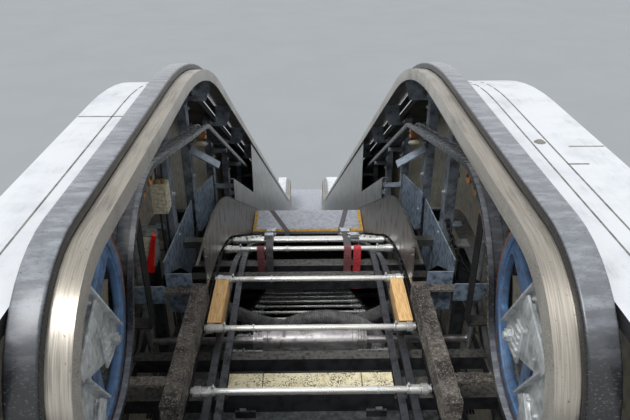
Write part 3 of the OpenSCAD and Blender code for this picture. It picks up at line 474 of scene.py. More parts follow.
rail_steel = machine_steel("oiled_rail_steel", "#606268", "#3e4045", 0.42, 40, "#85878b")
chain_steel = machine_steel("oiled_chain_steel", "#39393b", "#18181a", 0.4, 20)
axle_steel = machine_steel("turned_axle_steel", "#f1f0ec", "#d8d5ce", 0.26, 90, "#f4f4f2", 0.7)
zinc_plate = machine_steel("zinc_plated_steel", "#cfd3d5", "#8f9496", 0.4, 12, "#eceeef", 0.6)
conduit_steel = machine_steel("grey_conduit_steel", "#7d8183", "#55585a", 0.5, 30, "#a9adaf", 0.4)
brass = machine_steel("dull_brass", "#b08d4c", "#6e5a35", 0.4, 12, "#d9bd7f")
hanging_steel = machine_steel("old_hoist_chain_steel", "#2b292c", "#161416", 0.45, 12, "#6c6866")
dress(rail_steel, "track_left", "track_right")
dress(chain_steel, "step_chain_left", "step_chain_right")
dress(axle_steel, "bare_axles")
dress(hanging_steel, "hanging_chain")

# %% [markdown]
# The tube across the pit is scuffed bright in patches where things were dragged over it.

# %% Scuffed tube
tube_steel = surface("scuffed_tube_steel", 0.85, 0.4)
tube_film = pattern(tube_steel, 40, 0.45, 0.7, detail=6)
tube_scrapes = pattern(tube_steel, 40, 0.54, 0.7, (0.25, 1, 1), 6)
tube_rust = pattern(tube_steel, 60, 0.58, 0.72, detail=6)
layers(
    tube_steel,
    "#b5b1b1",
    [("#8c8687", tube_film), ("#7f685e", tube_rust), ("#e9e8e5", tube_scrapes)],
)
gloss(tube_steel, tube_film, 0.3, 0.6)
relief(tube_steel, tube_film, 0.2)

# %% [markdown]
# The beams beside the comb are coated with a crust of oil, grit and old mortar, so hardly any
# steel shows. The crust is rough at 2 to 20 mm, and pale where it has broken off.

# %% Crusted beams
beam_crust = surface("crusted_beam_steel", 0.1, 0.85)
lumps = pattern(beam_crust, 12, 0.35, 0.7, (1, 1, 1), 8)
flakes = pattern(beam_crust, 7, 0.5, 0.6, (1, 1, 1), 6)
crust_damp = pattern(beam_crust, 90, 0.42, 0.6, detail=8)
crust_rust = pattern(beam_crust, 36, 0.6, 0.7, detail=8)
layers(
    beam_crust,
    "#5b554f",
    [("#7f7972", lumps), ("#363230", crust_damp), ("#6d493c", crust_rust),
     ("#aaa49b", both(beam_crust, flakes, lumps)), ("#8b857c", edges(beam_crust, 4, 0.6))],
)
relief(beam_crust, lumps, 3)

# %% [markdown]
# Steps are die-cast aluminium, grey from shoes, with fine grooves that are modelled further
# on. Combs and floor plates are extruded aluminium of the same colour.

# %% Cast and extruded aluminium
step_cast = surface("worn_step_aluminium", 0.4, 0.5)
shoe_dirt = pattern(step_cast, 30, 0.42, 0.7, detail=8)
cast_grain = pattern(step_cast, 3, 0.35, 0.7)
layers(
    step_cast,
    "#b4b7c0",
    [("#a4a7b0", shoe_dirt), ("#8b8d94", both(step_cast, shoe_dirt, cast_grain)),
     ("#d0d2d6", edges(step_cast, 1.5, 0.5))],
)
gloss(step_cast, shoe_dirt, 0.4, 0.62)
relief(step_cast, cast_grain, 0.25)
dress(step_cast, "steps", "return_steps", "lower_comb_plate", "floor_plates")

# %% [markdown]
# Sawn pine has yearly rings that show as stripes along the block, brown knots and, on these
# blocks, black holes. The boards across the pit are pale and speckled with oil and mortar.

# %% Timber
pine = surface("sawn_pine", 0.0, 0.7)
ring_lines = pattern(pine, 7, 0.42, 0.62, (1, 0.08, 1), 3)
knots = pattern(pine, 30, 0.68, 0.74)
oil_marks = pattern(pine, 9, 0.68, 0.73)
layers(pine, "#f0c88e", [("#dca969", ring_lines), ("#6b4526", knots), ("#30261f", oil_marks)])
relief(pine, ring_lines, 0.3)

board = surface("speckled_board", 0.0, 0.8)
specks = pattern(board, 6, 0.5, 0.58, (1, 1, 1), 6)
stains = pattern(board, 40, 0.5, 0.68, detail=6)
speck_clouds = pattern(board, 70, 0.38, 0.56, detail=4)
layers(board, "#f3e8c4", [("#d9cca2", stains), ("#4c4536", both(board, specks, speck_clouds))])
relief(board, specks, 0.4)
dress(board, "pit_boards")
print("materials", len(bpy.data.materials))

# %% [markdown]
# The other pieces are built in bmesh. A piece starts from a cube, a cone or a short profile,
# is moved into place in metres, and gets smooth rounds with crisp corners. Machines repeat
# the same few parts, so there is one helper each for a block, a bar and a nut on its washer.


# %% Helpers for pieces
def done(name, bm, material, body="frame", stands_for=()):
    """Turns a bmesh into a piece that rides on a body, smooth where it bends gently."""
    bmesh.ops.recalc_face_normals(bm, faces=bm.faces)
    for face in bm.faces:
        face.smooth = True
    for edge in bm.edges:
        edge.smooth = edge.calc_face_angle(0.0) < math.radians(35)
    mesh = bpy.data.meshes.new(name)
    bm.to_mesh(mesh)
    bm.free()
    mesh.materials.append(material)
    piece = bpy.data.objects.new(name, mesh)
    bpy.context.scene.collection.objects.link(piece)
    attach(piece, body)
    if stands_for:
        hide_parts(*stands_for)
    print(name, len(mesh.polygons), "faces")
    return piece


def block(bm, x, y, z, round_mm=0.0):
    """A block between two places on each axis, with its edges rounded."""
    made = bmesh.ops.create_cube(bm, size=1.0)["verts"]
    ends = (sorted(x), sorted(y), sorted(z))
    bmesh.ops.scale(bm, vec=[high - low for low, high in ends], verts=made)
    bmesh.ops.translate(bm, vec=[(low + high) / 2 for low, high in ends], verts=made)
    if round_mm:
        rims = list(dict.fromkeys(edge for vert in made for edge in vert.link_edges))
        bmesh.ops.bevel(
            bm,
            geom=rims,
            offset=round_mm / 1000,
            segments=2,
            profile=0.5,
            affect="EDGES",
            material=-1,
        )
    return made


def bar(bm, start, end, radius, sides=16, tip=None):
    """A round bar between two points. A tip radius makes it a taper."""
    start, end = Vector(start), Vector(end)
    turn = (end - start).to_track_quat("Z", "Y").to_matrix().to_4x4()
    return bmesh.ops.create_cone(
        bm,
        cap_ends=True,
        segments=sides,
        radius1=radius,
        radius2=radius if tip is None else tip,
        depth=(end - start).length,
        matrix=Matrix.Translation((start + end) / 2) @ turn,
    )["verts"]


def nut(bm, seat, out, size_mm):
    """A hexagon nut on its washer, with the end of its bolt, on a face that looks out."""
    seat, out = Vector(seat), Vector(out)
    size = size_mm / 1000
    bar(bm, seat, seat + out * 0.2 * size, 1.15 * size, 14)
    bar(bm, seat + out * 0.2 * size, seat + out * size, 0.95 * size, 6)
    bar(bm, seat + out * size, seat + out * 1.5 * size, 0.5 * size, 8)


def merged_copy(name):
    """A bmesh of a CAD node, with its loose triangles joined into whole flat faces."""
    bm = bmesh.new()
    bm.from_mesh(nodes[name].data)
    bmesh.ops.remove_doubles(bm, verts=bm.verts, dist=0.00002)
    bmesh.ops.dissolve_limit(
        bm, angle_limit=math.radians(0.3), verts=bm.verts, edges=bm.edges
    )
    return bm


def soften(bm, width_mm, segments=2, sharp=40):
    """Rounds every corner that is sharper than an angle."""
    corners = [e for e in bm.edges if e.calc_face_angle(0.0) > math.radians(sharp)]
    bmesh.ops.bevel(
        bm,
        geom=corners,
        offset=width_mm / 1000,
        segments=segments,
        profile=0.5,
        affect="EDGES",
        material=-1,
        clamp_overlap=True,
    )


SIDES = (("left", -1), ("right", 1))

# %% [markdown]
# A handrail's section is a flat C with round shoulders. The drawing has it square, so here
# the two outer corners of a copy are rounded to 9 mm, and the copy stands in for the node.


# %% Handrail belts
def width_of(face):
    across = [abs(vert.co.x) for vert in face.verts]
    return max(across) - min(across)


for side, _ in SIDES:
    belt = merged_copy("handrail_" + side)
    shoulders = []
    for edge in belt.edges:
        widths = sorted(width_of(face) for face in edge.link_faces)
        if len(widths) == 2 and widths[0] < 0.001 and widths[1] > 0.079:
            shoulders.append(edge)
    bmesh.ops.bevel(
        belt, geom=shoulders, offset=0.009, segments=4, profile=0.5, affect="EDGES", material=-1
    )
    done("handrail_belt_" + side, belt, handrail_rubber, "frame",
         ["handrail_" + side])

# %% [markdown]
# The guide band is folded stainless sheet: a top that looks outward and a lip that looks inward.
# The copy gets a 3 mm fold at that corner. The lip's faces get a paler copy of the steel that
# is only part metal: painted light that gives the lip a flat grey look, though it is the same
# steel.

# %% Guide bands
for side, _ in SIDES:
    band = merged_copy("guide_band_" + side)
    soften(band, 2.5, 3, 60)
    band_name = "guide_band_skin_" + side
    skin = done(band_name, band, band_steel, "frame", ["guide_band_" + side])
    # The lip's faces take the painted-grey copy of the steel.
    skin.data.materials.append(lip_painted_grey_steel)
    for face in skin.data.polygons:
        face.material_index = 1 if abs(face.normal.x) > 0.7 else 0

# %% [markdown]
# Cast wheels have round corners, and their rims and hubs are machined. Copies of the wheels
# are rounded at every corner. The bore's flat facets are moved out by 1 percent, so that they
# clear the axle's corners at every angle. Nuts hold each hub.

# %% Drive wheels
HUB_Y, HUB_Z = 1.590, 0.730
BORE_R, BORE_EASE = 0.0255, 0.01
HUB_FACE_X, NUT_RING_R = 0.600, 0.047
for side, sign in SIDES:
    cast = merged_copy("handrail_wheel_" + side)
    soften(cast, 2.5)
    for vert in cast.verts:
        arm = Vector((0, vert.co.y - HUB_Y, vert.co.z - HUB_Z))
        if arm.length < BORE_R:
            vert.co += arm * BORE_EASE
    done("cast_wheel_" + side, cast, wheel_enamel, "wheel_" + side,
         ["handrail_wheel_" + side])
    hub = bmesh.new()
    for turn in range(6):
        angle = math.radians(60 * turn)
        y, z = HUB_Y + NUT_RING_R * math.cos(angle), HUB_Z + NUT_RING_R * math.sin(angle)
        nut(hub, (sign * HUB_FACE_X, y, z), (-sign, 0, 0), 8)
    done("hub_nuts_" + side, hub, zinc_plate, "wheel_" + side)

# %% [markdown]
# The newel brackets are pressed from 6 mm sheet and zinc coated. Each copy gets 1.5 mm
# rounds. Nuts hold the gussets to the band, the axle ends in a castle nut with a slotted
# plate, and slots let the fitter set the wheel's place.

# %% Newel brackets
brackets = merged_copy("newel_brackets")
soften(brackets, 1.2, 2, 50)
done("pressed_newel_brackets", brackets, galvanised, "frame", ["newel_brackets"])
fixings = bmesh.new()
slotted = bmesh.new()
GUSSET_X = 0.556
AXLE_STACK = ((0.556, 0.553, 0.026, 24), (0.553, 0.541, 0.019, 6), (0.541, 0.534, 0.010, 16))
GUSSET_NUTS = (
    (-0.062, 0.048, 6), (-0.050, -0.012, 6), (-0.094, 0.088, 7), (-0.180, 0.070, 7),
    (-0.212, 0.118, 6), (-0.105, 0.200, 7), (-0.128, 0.232, 6), (-0.190, -0.055, 6),
    (-0.178, -0.170, 7), (-0.205, -0.128, 6), (-0.242, -0.060, 6),
)
for _, sign in SIDES:
    for dy, dz, size in GUSSET_NUTS:
        nut(fixings, (sign * GUSSET_X, HUB_Y + dy, HUB_Z + dz), (-sign, 0, 0), size)
    for near_x, far_x, radius, sides in AXLE_STACK:
        bar(fixings, (sign * near_x, HUB_Y, HUB_Z), (sign * far_x, HUB_Y, HUB_Z), radius, sides)
    block(slotted, (sign * 0.548, sign * GUSSET_X), (HUB_Y - 0.085, HUB_Y - 0.035),
          (HUB_Z - 0.030, HUB_Z + 0.085), 2)
    for rib in range(5):
        low = HUB_Z - 0.018 + rib * 0.021
        block(slotted, (sign * 0.543, sign * 0.549), (HUB_Y - 0.078, HUB_Y - 0.045),
              (low, low + 0.008), 1)
done("newel_fixings", fixings, galvanised)
done("slotted_plates", slotted, galvanised)

# %% [markdown]
# The beams beside the comb carry a thick crust. Their copy is cut into small triangles, and
# noise moves each vertex in or out by up to 4 mm, so the silhouette crumbles as well.

# %% Crusted comb beams
LONGEST_EDGE, CRUST_SUNK = 0.011, 0.0010
crust = merged_copy("comb_beams")
bmesh.ops.triangulate(crust, faces=crust.faces)
for _ in range(8):
    long_edges = [e for e in crust.edges if e.calc_length() > LONGEST_EDGE]
    bmesh.ops.subdivide_edges(crust, edges=long_edges, cuts=1)
    bmesh.ops.triangulate(crust, faces=[f for f in crust.faces if len(f.verts) > 3])
crust.normal_update()
shifts = []
for vert in crust.verts:
    coarse = 0.0035 * noise.noise(vert.co * 38)
    fine = 0.0020 * noise.noise(vert.co * 120)
    shifts.append(vert.normal * (coarse + fine - CRUST_SUNK))
for vert, shift in zip(crust.verts, shifts):
    vert.co += shift
done("crusted_beams", crust, beam_crust, "frame", ["comb_beams"])

# %% [markdown]
# The timber blocks were cut with a hand saw. Their copy is cut short below, where the near
# end is sawn at a slant, and softened at the edges.

# %% Timber blocks
SLANT_Y, SLANT = 2.580, 0.060
blocks = merged_copy("timber_blocks")
for vert in blocks.verts:
    if vert.co.y < SLANT_Y and vert.co.z < -0.05:
        vert.co.y += SLANT
soften(blocks, 3, 3)
done("sawn_blocks", blocks, pine, "frame", ["timber_blocks"])

# %% [markdown]
# The tube across the pit is a roller body with rims at both ends, a stack of discs where its
# bearings sit, and a shaft out to its hangers. A profile turned round the X axis gives it.

# %% Cross tube
TUBE_Y, TUBE_Z = 2.800, -0.302
HALF_TUBE = (
    (0.0, 0.064), (0.222, 0.064), (0.224, 0.068), (0.244, 0.068), (0.246, 0.060), (0.252, 0.060),
    (0.253, 0.046), (0.259, 0.046), (0.260, 0.052), (0.266, 0.052), (0.267, 0.044), (0.273, 0.044),
    (0.274, 0.052), (0.280, 0.052), (0.281, 0.042), (0.288, 0.042), (0.289, 0.048), (0.300, 0.048),
    (0.302, 0.020), (0.830, 0.020),
)
tube = bmesh.new()
profile = [(-x, r) for x, r in reversed(HALF_TUBE[1:])] + list(HALF_TUBE)
points = [tube.verts.new((x, TUBE_Y, TUBE_Z + r)) for x, r in profile]
rim = [tube.edges.new(pair) for pair in zip(points, points[1:])]
bmesh.ops.spin(
    tube, geom=points + rim, cent=(0, TUBE_Y, TUBE_Z), axis=(1, 0, 0), angle=math.tau,
    steps=40, use_merge=True,
)
bmesh.ops.remove_doubles(tube, verts=tube.verts, dist=0.00002)
bmesh.ops.holes_fill(tube, edges=[e for e in tube.edges if e.is_boundary], sides=60)
for sign in (-1, 1):
    block(tube, (sign * HALF_TUBE[-1][0], sign * 0.840), (TUBE_Y - 0.04, TUBE_Y + 0.04),
          (-0.342, -0.196), 1)
    for turn in range(6):
        angle = math.radians(60 * turn + 20)
        seat = (sign * 0.246, TUBE_Y + 0.056 * math.cos(angle), TUBE_Z + 0.056 * math.sin(angle))
        nut(tube, seat, (sign, 0, 0), 5)
done("turned_cross_tube", tube, tube_steel, "frame", ["cross_tube"])

# %% [markdown]
# Each spare axle keeps the clamps of its missing step: a split collar with its screw, a pair
# of zinc nuts and a cotter pin at each end. The axles' places come from the drawing's mesh.

# %% Axle clamps
AXLE_END_X = 0.4995
AXLE_GAP = 0.05


def axle_places(name):
    """Y and Z of a node's axles, from the rings of vertices at their right-hand ends."""
    rings = []
    for _, y, z in (vert.co for vert in nodes[name].data.vertices if vert.co.x > AXLE_END_X):
        near = [r for r in rings if abs(r[0][0] - y) < AXLE_GAP and abs(r[0][1] - z) < AXLE_GAP]
        if near:
            near[0].append((y, z))
        else:
            rings.append([(y, z)])
    spans = [[(min(along), max(along)) for along in zip(*ring)] for ring in rings]
    return sorted(((y0 + y1) / 2, (z0 + z1) / 2) for (y0, y1), (z0, z1) in spans)


axles = axle_places("bare_axles")
print("bare axles", [(round(y, 3), round(z, 3)) for y, z in axles])
CLAMP_NUTS = ((0.458, 0.470, 0.023, 20), (0.4705, 0.482, 0.022, 6), (0.4825, 0.492, 0.020, 6))
COTTER_X = 0.4965
clamps = bmesh.new()
pins = bmesh.new()
random.seed(5)
for y, z in axles:
    for sign in (-1, 1):
        shift = random.uniform(-0.004, 0.004)
        bar(clamps, (sign * 0.400, y, z), (sign * (0.412 + shift), y, z), 0.020, 20)
        block(clamps, (sign * 0.402, sign * 0.411), (y - 0.008, y + 0.008),
              (z + 0.018, z + 0.031), 1)
        for near_x, far_x, radius, sides in CLAMP_NUTS:
            bar(clamps, (sign * near_x, y, z), (sign * far_x, y, z), radius, sides)
        bar(pins, (sign * COTTER_X, y - 0.004, z + 0.030),
            (sign * COTTER_X, y + 0.004, z - 0.034), 0.002, 8)
    ring_x = random.uniform(0.1, 0.3) * random.choice((-1, 1))
    bar(clamps, (ring_x, y, z), (ring_x + 0.010, y, z), 0.0185, 20)
done("axle_clamps", clamps, zinc_plate)
done("axle_cotters", pins, axle_steel)

# %% [markdown]
# A tread is a comb of narrow cleats that run along the steps. Real ones stand 9 mm apart,
# which is one pixel at this distance, and they are modelled one by one. The sides and the
# back edge are yellow inserts, so that people see where a step ends.

# %% Tread cleats
CLEAT_PITCH = 0.009
CLEAT_W = 0.004
CLEAT_H = 0.005
YELLOW_SIDE = 0.026
YELLOW_BACK = 0.040
TREAD = {"half": 0.494, "back": -0.130, "front": 0.262, "top": 0.136}
step_axles = axle_places("steps")


def on_every_step(one):
    """Repeats a bmesh, drawn about one axle, at the axle of every step."""
    single = bpy.data.meshes.new("one_step")
    one.to_mesh(single)
    one.free()
    every = bmesh.new()
    for y, z in step_axles:
        before = len(every.verts)
        every.from_mesh(single)
        every.verts.ensure_lookup_table()
        bmesh.ops.translate(every, vec=(0, y, z), verts=every.verts[before:])
    bpy.data.meshes.remove(single)
    return every


one_tread = bmesh.new()
one_border = bmesh.new()
count = int(2 * TREAD["half"] / CLEAT_PITCH)
for i in range(count):
    x = -TREAD["half"] + (i + 0.5) * CLEAT_PITCH
    across = (x - CLEAT_W / 2, x + CLEAT_W / 2)
    up = (TREAD["top"], TREAD["top"] + CLEAT_H)
    if abs(x) > TREAD["half"] - YELLOW_SIDE:
        block(one_border, across, (TREAD["back"], TREAD["front"]), up)
    else:
        block(one_border, across, (TREAD["back"], TREAD["back"] + YELLOW_BACK), up)
        block(one_tread, across, (TREAD["back"] + YELLOW_BACK + 0.001, TREAD["front"]), up)
for sign in (-1, 1):
    block(one_border, (sign * (TREAD["half"] - YELLOW_SIDE), sign * TREAD["half"]),
          (TREAD["back"], TREAD["front"]), (TREAD["top"], TREAD["top"] + 0.0015))
block(one_border, (-TREAD["half"], TREAD["half"]), (TREAD["back"], TREAD["back"] + YELLOW_BACK),
      (TREAD["top"], TREAD["top"] + 0.0012))
done("tread_cleats", on_every_step(one_tread), step_cast)
done("tread_borders", on_every_step(one_border), yellow_insert)

# %% [markdown]
# The riser below each tread has cleats too, one for each of the tread's. They are drawn
# twice as wide apart here, because only their edges show between two treads.

# %% Riser cleats
RISER_R = 0.402
RISER_Y, RISER_Z = -0.132, 0.136
FIRST_TURN, TURN_STEP = 3, 7.2
one_riser = bmesh.new()
for i in range(count // 2):
    x = -TREAD["half"] + (i + 0.5) * 2 * CLEAT_PITCH
    for part in range(3):
        turns = [math.radians(FIRST_TURN + TURN_STEP * (part + far)) for far in (0, 1)]
        start, end = [
            (x, RISER_Y + RISER_R * math.cos(turn), RISER_Z - RISER_R * math.sin(turn))
            for turn in turns
        ]
        bar(one_riser, start, end, 0.0024, 4)
done("riser_cleats", on_every_step(one_riser), step_cast)

# %% [markdown]
# Long bent things are swept: rings of vertices follow a line, and each ring is drawn in the
# plane across it. The same helper gives hoses, webbing, trims and cables.


# %% Helpers for swept pieces
def even(points, step):
    """The same line again, with its points a step apart."""
    spaced = [points[0]]
    left = step
    for start, end in zip(points, points[1:]):
        run = (end - start).length
        while left <= run:
            spaced.append(start.lerp(end, left / run))
            left += step
        left -= run
    return spaced


def length_of(points):
    return sum((end - start).length for start, end in zip(points, points[1:]))


def sweep(bm, points, sections, across):
    """Skins rings that follow the points. A section holds places across and square to it."""
    across = Vector(across)
    rings = []
    for i, point in enumerate(points):
        ahead = points[min(i + 1, len(points) - 1)]
        behind = points[max(i - 1, 0)]
        square = (ahead - behind).normalized().cross(across).normalized()
        section = sections[i % len(sections)]
        rings.append([bm.verts.new(point + across * u + square * v) for u, v in section])
    for ring, after in zip(rings, rings[1:]):
        for j in range(len(ring)):
            bm.faces.new((ring[j - 1], ring[j], after[j], after[j - 1]))
    bm.faces.new(rings[0])
    bm.faces.new(rings[-1])


def circle(radius, sides=24):
    turns = [math.tau * i / sides for i in range(sides)]
    return [(radius * math.cos(turn), radius * math.sin(turn)) for turn in turns]


def flat(width, thick):
    u, v = width / 2, thick / 2
    return [(-u, -v), (u, -v), (u, v), (-u, v)]


def bow(centre, radius, start, end, y, count=24):
    """An arc in the plane across the machine, between two angles in degrees."""
    turns = [math.radians(start + (end - start) * i / count) for i in range(count + 1)]
    return [
        Vector((centre[0] + radius * math.cos(turn), y, centre[1] + radius * math.sin(turn)))
        for turn in turns
    ]


# %% [markdown]
# Two corrugated air hoses, 86 mm thick, cross the pit below the bare axles. One stands on the
# pan in a wide arch, and its feet are read from the drawing. The other sags between two
# sockets of the pit frame. Their rings are 12 mm apart.

# %% Corrugated hoses
HOSE_R = 0.043
HOSE_VALLEY_R = 0.0375
HOSE_PITCH = 0.012
ARCH_X, ARCH_Z, ARCH_R, ARCH_Y = 0.090, -0.948, 0.440, 3.260
SHOULDER_R = 0.120
foot_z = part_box("air_hose")[0][2]
reach = (ARCH_R - SHOULDER_R) * math.sin(math.radians(45))
shoulder_z = ARCH_Z + reach
leg_x = reach + SHOULDER_R
arch_line = (
    [Vector((ARCH_X - leg_x, ARCH_Y, foot_z))]
    + bow((ARCH_X - reach, shoulder_z), SHOULDER_R, 180, 135, ARCH_Y, 12)
    + bow((ARCH_X, ARCH_Z), ARCH_R, 135, 45, ARCH_Y, 40)[1:]
    + bow((ARCH_X + reach, shoulder_z), SHOULDER_R, 45, 0, ARCH_Y, 12)[1:]
    + [Vector((ARCH_X + leg_x, ARCH_Y, foot_z))]
)
sag_line = bow((0, 0.216), 0.900, 226.46, 313.54, 3.370, 60)
rib_sections = [circle(HOSE_R), circle(HOSE_R), circle(HOSE_VALLEY_R), circle(HOSE_VALLEY_R)]
HOSES = (("arched_hose", arch_line, "loose"), ("sagging_hose", sag_line, "hanging"))
for name, line, lay in HOSES:
    hose = bmesh.new()
    sweep(hose, even(line, HOSE_PITCH / 4), rib_sections, (0, 1, 0))
    piece = done(name, hose, hose_rubber, "frame", ["air_hose"])
    guide = even(line, length_of(line) / 36)
    if (guide[-1] - line[-1]).length > 0.001:
        guide.append(line[-1])

# %% [markdown]
# Two lashing straps hold the first tread back. Each runs over the tread to a chrome ratchet,
# and on over the bare axles. The loose tails hang from the axle where the strap ends.

# %% Lashing straps
WEB, WEB_THICK, WEB_LIFT = 0.044, 0.002, 0.0185
FIRST_TREAD_TOP = -0.9145
STRAPPED_AXLES = (
    (4.787, -0.853), (4.435, -0.649), (4.082, -0.446), (3.729, -0.242), (3.358, -0.077),
)
STRAP_XS = ((-0.342, -0.189, -0.330, -0.236), (0.361, 0.288, 0.329, 0.229))
RATCHET_BARS = (
    (0.047, 5.020, -0.900, 0.009), (0.047, 4.935, -0.905, 0.011), (0.037, 4.975, -0.895, 0.016),
)
webs = bmesh.new()
ratchets = bmesh.new()
for tread_far, tread_near, buckle_x, end_x in STRAP_XS:
    lying = [
        Vector((tread_far, 5.404, FIRST_TREAD_TOP)),
        Vector((tread_near, 5.014, FIRST_TREAD_TOP)),
        Vector((tread_near, 4.985, -0.935)),
        Vector((tread_near, 4.960, -1.000)),
    ]
    sweep(webs, lying, [flat(WEB, WEB_THICK)], (1, 0, 0))
    drawn = [Vector((buckle_x, 4.985, -0.905))]
    for i, (y, z) in enumerate(STRAPPED_AXLES):
        share = (i + 1) / len(STRAPPED_AXLES)
        drawn.append(Vector((buckle_x + (end_x - buckle_x) * share, y, z + WEB_LIFT)))
    sweep(webs, drawn, [flat(WEB, WEB_THICK)], (1, 0, 0))
    for side_x in (buckle_x - 0.040, buckle_x + 0.037):
        block(ratchets, (side_x, side_x + 0.003), (4.925, 5.030), (-0.925, -0.885), 1)
    for half, y, z, radius in RATCHET_BARS:
        bar(ratchets, (buckle_x - half, y, z), (buckle_x + half, y, z), radius, 14)
    block(ratchets, (buckle_x - 0.037, buckle_x + 0.037), (4.990, 5.012), (-0.889, -0.886), 0.5)
for hook_x in (-0.262, 0.300):
    block(ratchets, (hook_x - 0.030, hook_x + 0.030), (3.710, 3.748), (-0.226, -0.190), 4)
    for side_x in (hook_x - 0.030, hook_x + 0.026):
        block(ratchets, (side_x, side_x + 0.004), (3.690, 3.700), (-0.290, -0.200), 1)
done("lashing_webs", webs, grey_web, "frame", ["lashing_straps"])
done("chrome_ratchets", ratchets, zinc_plate)

TAILS = (
    ("faded_tail_left", -0.286, faded_web, 0.300), ("grey_tail_left", -0.236, grey_web, 0.280),
    ("faded_tail_right", 0.229, faded_web, 0.290), ("red_tail_right", 0.286, red_web, 0.310),
)
LAST_Y, LAST_Z = STRAPPED_AXLES[-1]
DRAPE_R, DRAPE_LENGTH, SWAY = 0.021, 0.033, 0.004
for name, x, material, drop in TAILS:
    hang = []
    for i in range(7):
        turn = math.radians(15 * i)
        y, z = LAST_Y - DRAPE_R * math.sin(turn), LAST_Z + DRAPE_R * math.cos(turn)
        hang.append(Vector((x, y, z)))
    for i in range(1, 13):
        sway = SWAY * math.sin(i * 0.7)
        fall = (drop - DRAPE_LENGTH) * i / 12
        hang.append(Vector((x, LAST_Y - DRAPE_R - sway, LAST_Z - fall)))
    tail = bmesh.new()
    sweep(tail, hang, [flat(WEB, WEB_THICK)], (1, 0, 0))
    piece = done(name, tail, material)

# %% [markdown]
# The decks are fitted to a line that bends twice. Their own mesh gives that line, and dark
# linings, seams and a lump of old mortar are laid along it.

# %% Deck linings and seams
def deck_line(side):
    """The top of a deck's inner edge, as pairs of Y and Z along the machine."""
    mesh = nodes["outer_deck_" + side].data
    inner = min(abs(vert.co.x) for vert in mesh.vertices)
    tops = {}
    for face in mesh.polygons:
        for place in [mesh.vertices[index].co for index in face.vertices]:
            if face.normal.z > 0.5 and abs(abs(place.x) - inner) < 0.0005:
                tops[round(place.y, 4)] = place.z
    return sorted(tops.items())


def height_on(line, y):
    for (y0, z0), (y1, z1) in zip(line, line[1:]):
        if y0 <= y <= y1 and y1 > y0:
            return z0 + (z1 - z0) * (y - y0) / (y1 - y0)
    return line[-1][1]


LINING_X = 0.664
lining_steel = moulding("black_deck_lining", "#1c1c1d", "#2a2a2b", 0.7)
seam_filler = moulding("grey_seam_filler", "#7d7b77", "#5d5b58", 0.8)
deck_edge = deck_line("right")
linings = bmesh.new()
seams = bmesh.new()
lining_ys = [3.0 + 0.1 * i for i in range(136)]
for _, sign in SIDES:
    line = [Vector((sign * LINING_X, y, height_on(deck_edge, y) + 0.028)) for y in lining_ys]
    sweep(linings, line, [flat(0.002, 0.056)], (1, 0, 0))
done("deck_linings", linings, lining_steel)
seam_ys = [1.30 + 0.1 * i for i in range(161)]
for x in (0.800, 0.860, -0.790):
    line = [Vector((x, y, height_on(deck_edge, y) + 0.0004)) for y in seam_ys]
    sweep(seams, line, [flat(0.006, 0.0008)], (1, 0, 0))
CROSS_SEAMS = (
    (0.920, 1.046, 2.257), (0.862, 0.930, 2.104), (0.680, 0.798, 3.100), (0.802, 0.858, 3.900),
    (0.862, 1.046, 4.600), (0.680, 0.798, 5.400), (0.680, 1.046, 7.500), (0.680, 1.046, 9.900),
    (0.680, 1.046, 12.300), (-0.680, -0.926, 2.600), (-0.680, -0.926, 4.900),
    (-0.680, -0.926, 8.100), (-0.680, -0.926, 11.300), (-0.680, -0.926, 14.500),
)
for first_x, last_x, seam_y in CROSS_SEAMS:
    seam_z = height_on(deck_edge, seam_y)
    slope = height_on(deck_edge, seam_y + 0.01) - seam_z
    line = [Vector((0, seam_y, seam_z)), Vector((0, seam_y + 0.008, seam_z + 0.8 * slope))]
    middle = Vector(((first_x + last_x) / 2, 0, 0.0004))
    sweep(seams, [p + middle for p in line], [flat(abs(last_x - first_x), 0.0008)], (1, 0, 0))
LUMP_X, LUMP_Y = 0.831, 2.304
lump_z = height_on(deck_edge, LUMP_Y)
bar(seams, (LUMP_X, LUMP_Y, lump_z), (LUMP_X, LUMP_Y, lump_z + 0.008), 0.022, 9, 0.010)
done("deck_seams", seams, seam_filler)

# %% [markdown]
# The skirt's top is folded over by 12 mm, in the skirt's own scuffed steel.

# %% Skirt folds
trims = bmesh.new()
skirt_in = min(abs(vert.co.x) for vert in nodes["skirt_right"].data.vertices)
FOLD_START_Y, FOLD_BEND_Y, FOLD_END_Y = 2.560, 2.787, 5.600
FOLD_TOP_Z, FOLD_R, NUTS_Y = 0.334, 1.9, 2.760
TAN_30 = math.tan(math.radians(30))
fold = [Vector((0, FOLD_START_Y, FOLD_TOP_Z)), Vector((0, FOLD_BEND_Y, FOLD_TOP_Z))]
for i in range(1, 13):
    turn = math.radians(2.5 * i)
    y = FOLD_BEND_Y + FOLD_R * math.sin(turn)
    fold.append(Vector((0, y, FOLD_TOP_Z - FOLD_R + FOLD_R * math.cos(turn))))
fold.append(Vector((0, FOLD_END_Y, fold[-1][2] - (FOLD_END_Y - fold[-1][1]) * TAN_30)))
for _, sign in SIDES:
    place = Vector((sign * (skirt_in + 0.002), 0, -0.002))
    sweep(trims, [point + place for point in fold], [flat(0.012, 0.003)], (1, 0, 0))
    for z in (0.30, 0.25, 0.12):
        nut(trims, (sign * (skirt_in - 0.0005), NUTS_Y, z), (-sign, 0, 0), 7)
done("skirt_folds", trims, skirt_steel)

# %% [markdown]
# The posts are bolted to the truss, and grey conduits and black cables are clipped up beside
# them. The cream box has ribs on its lid and side, and brass glands where its cables go in.
# The switch below it has a lid of its own.

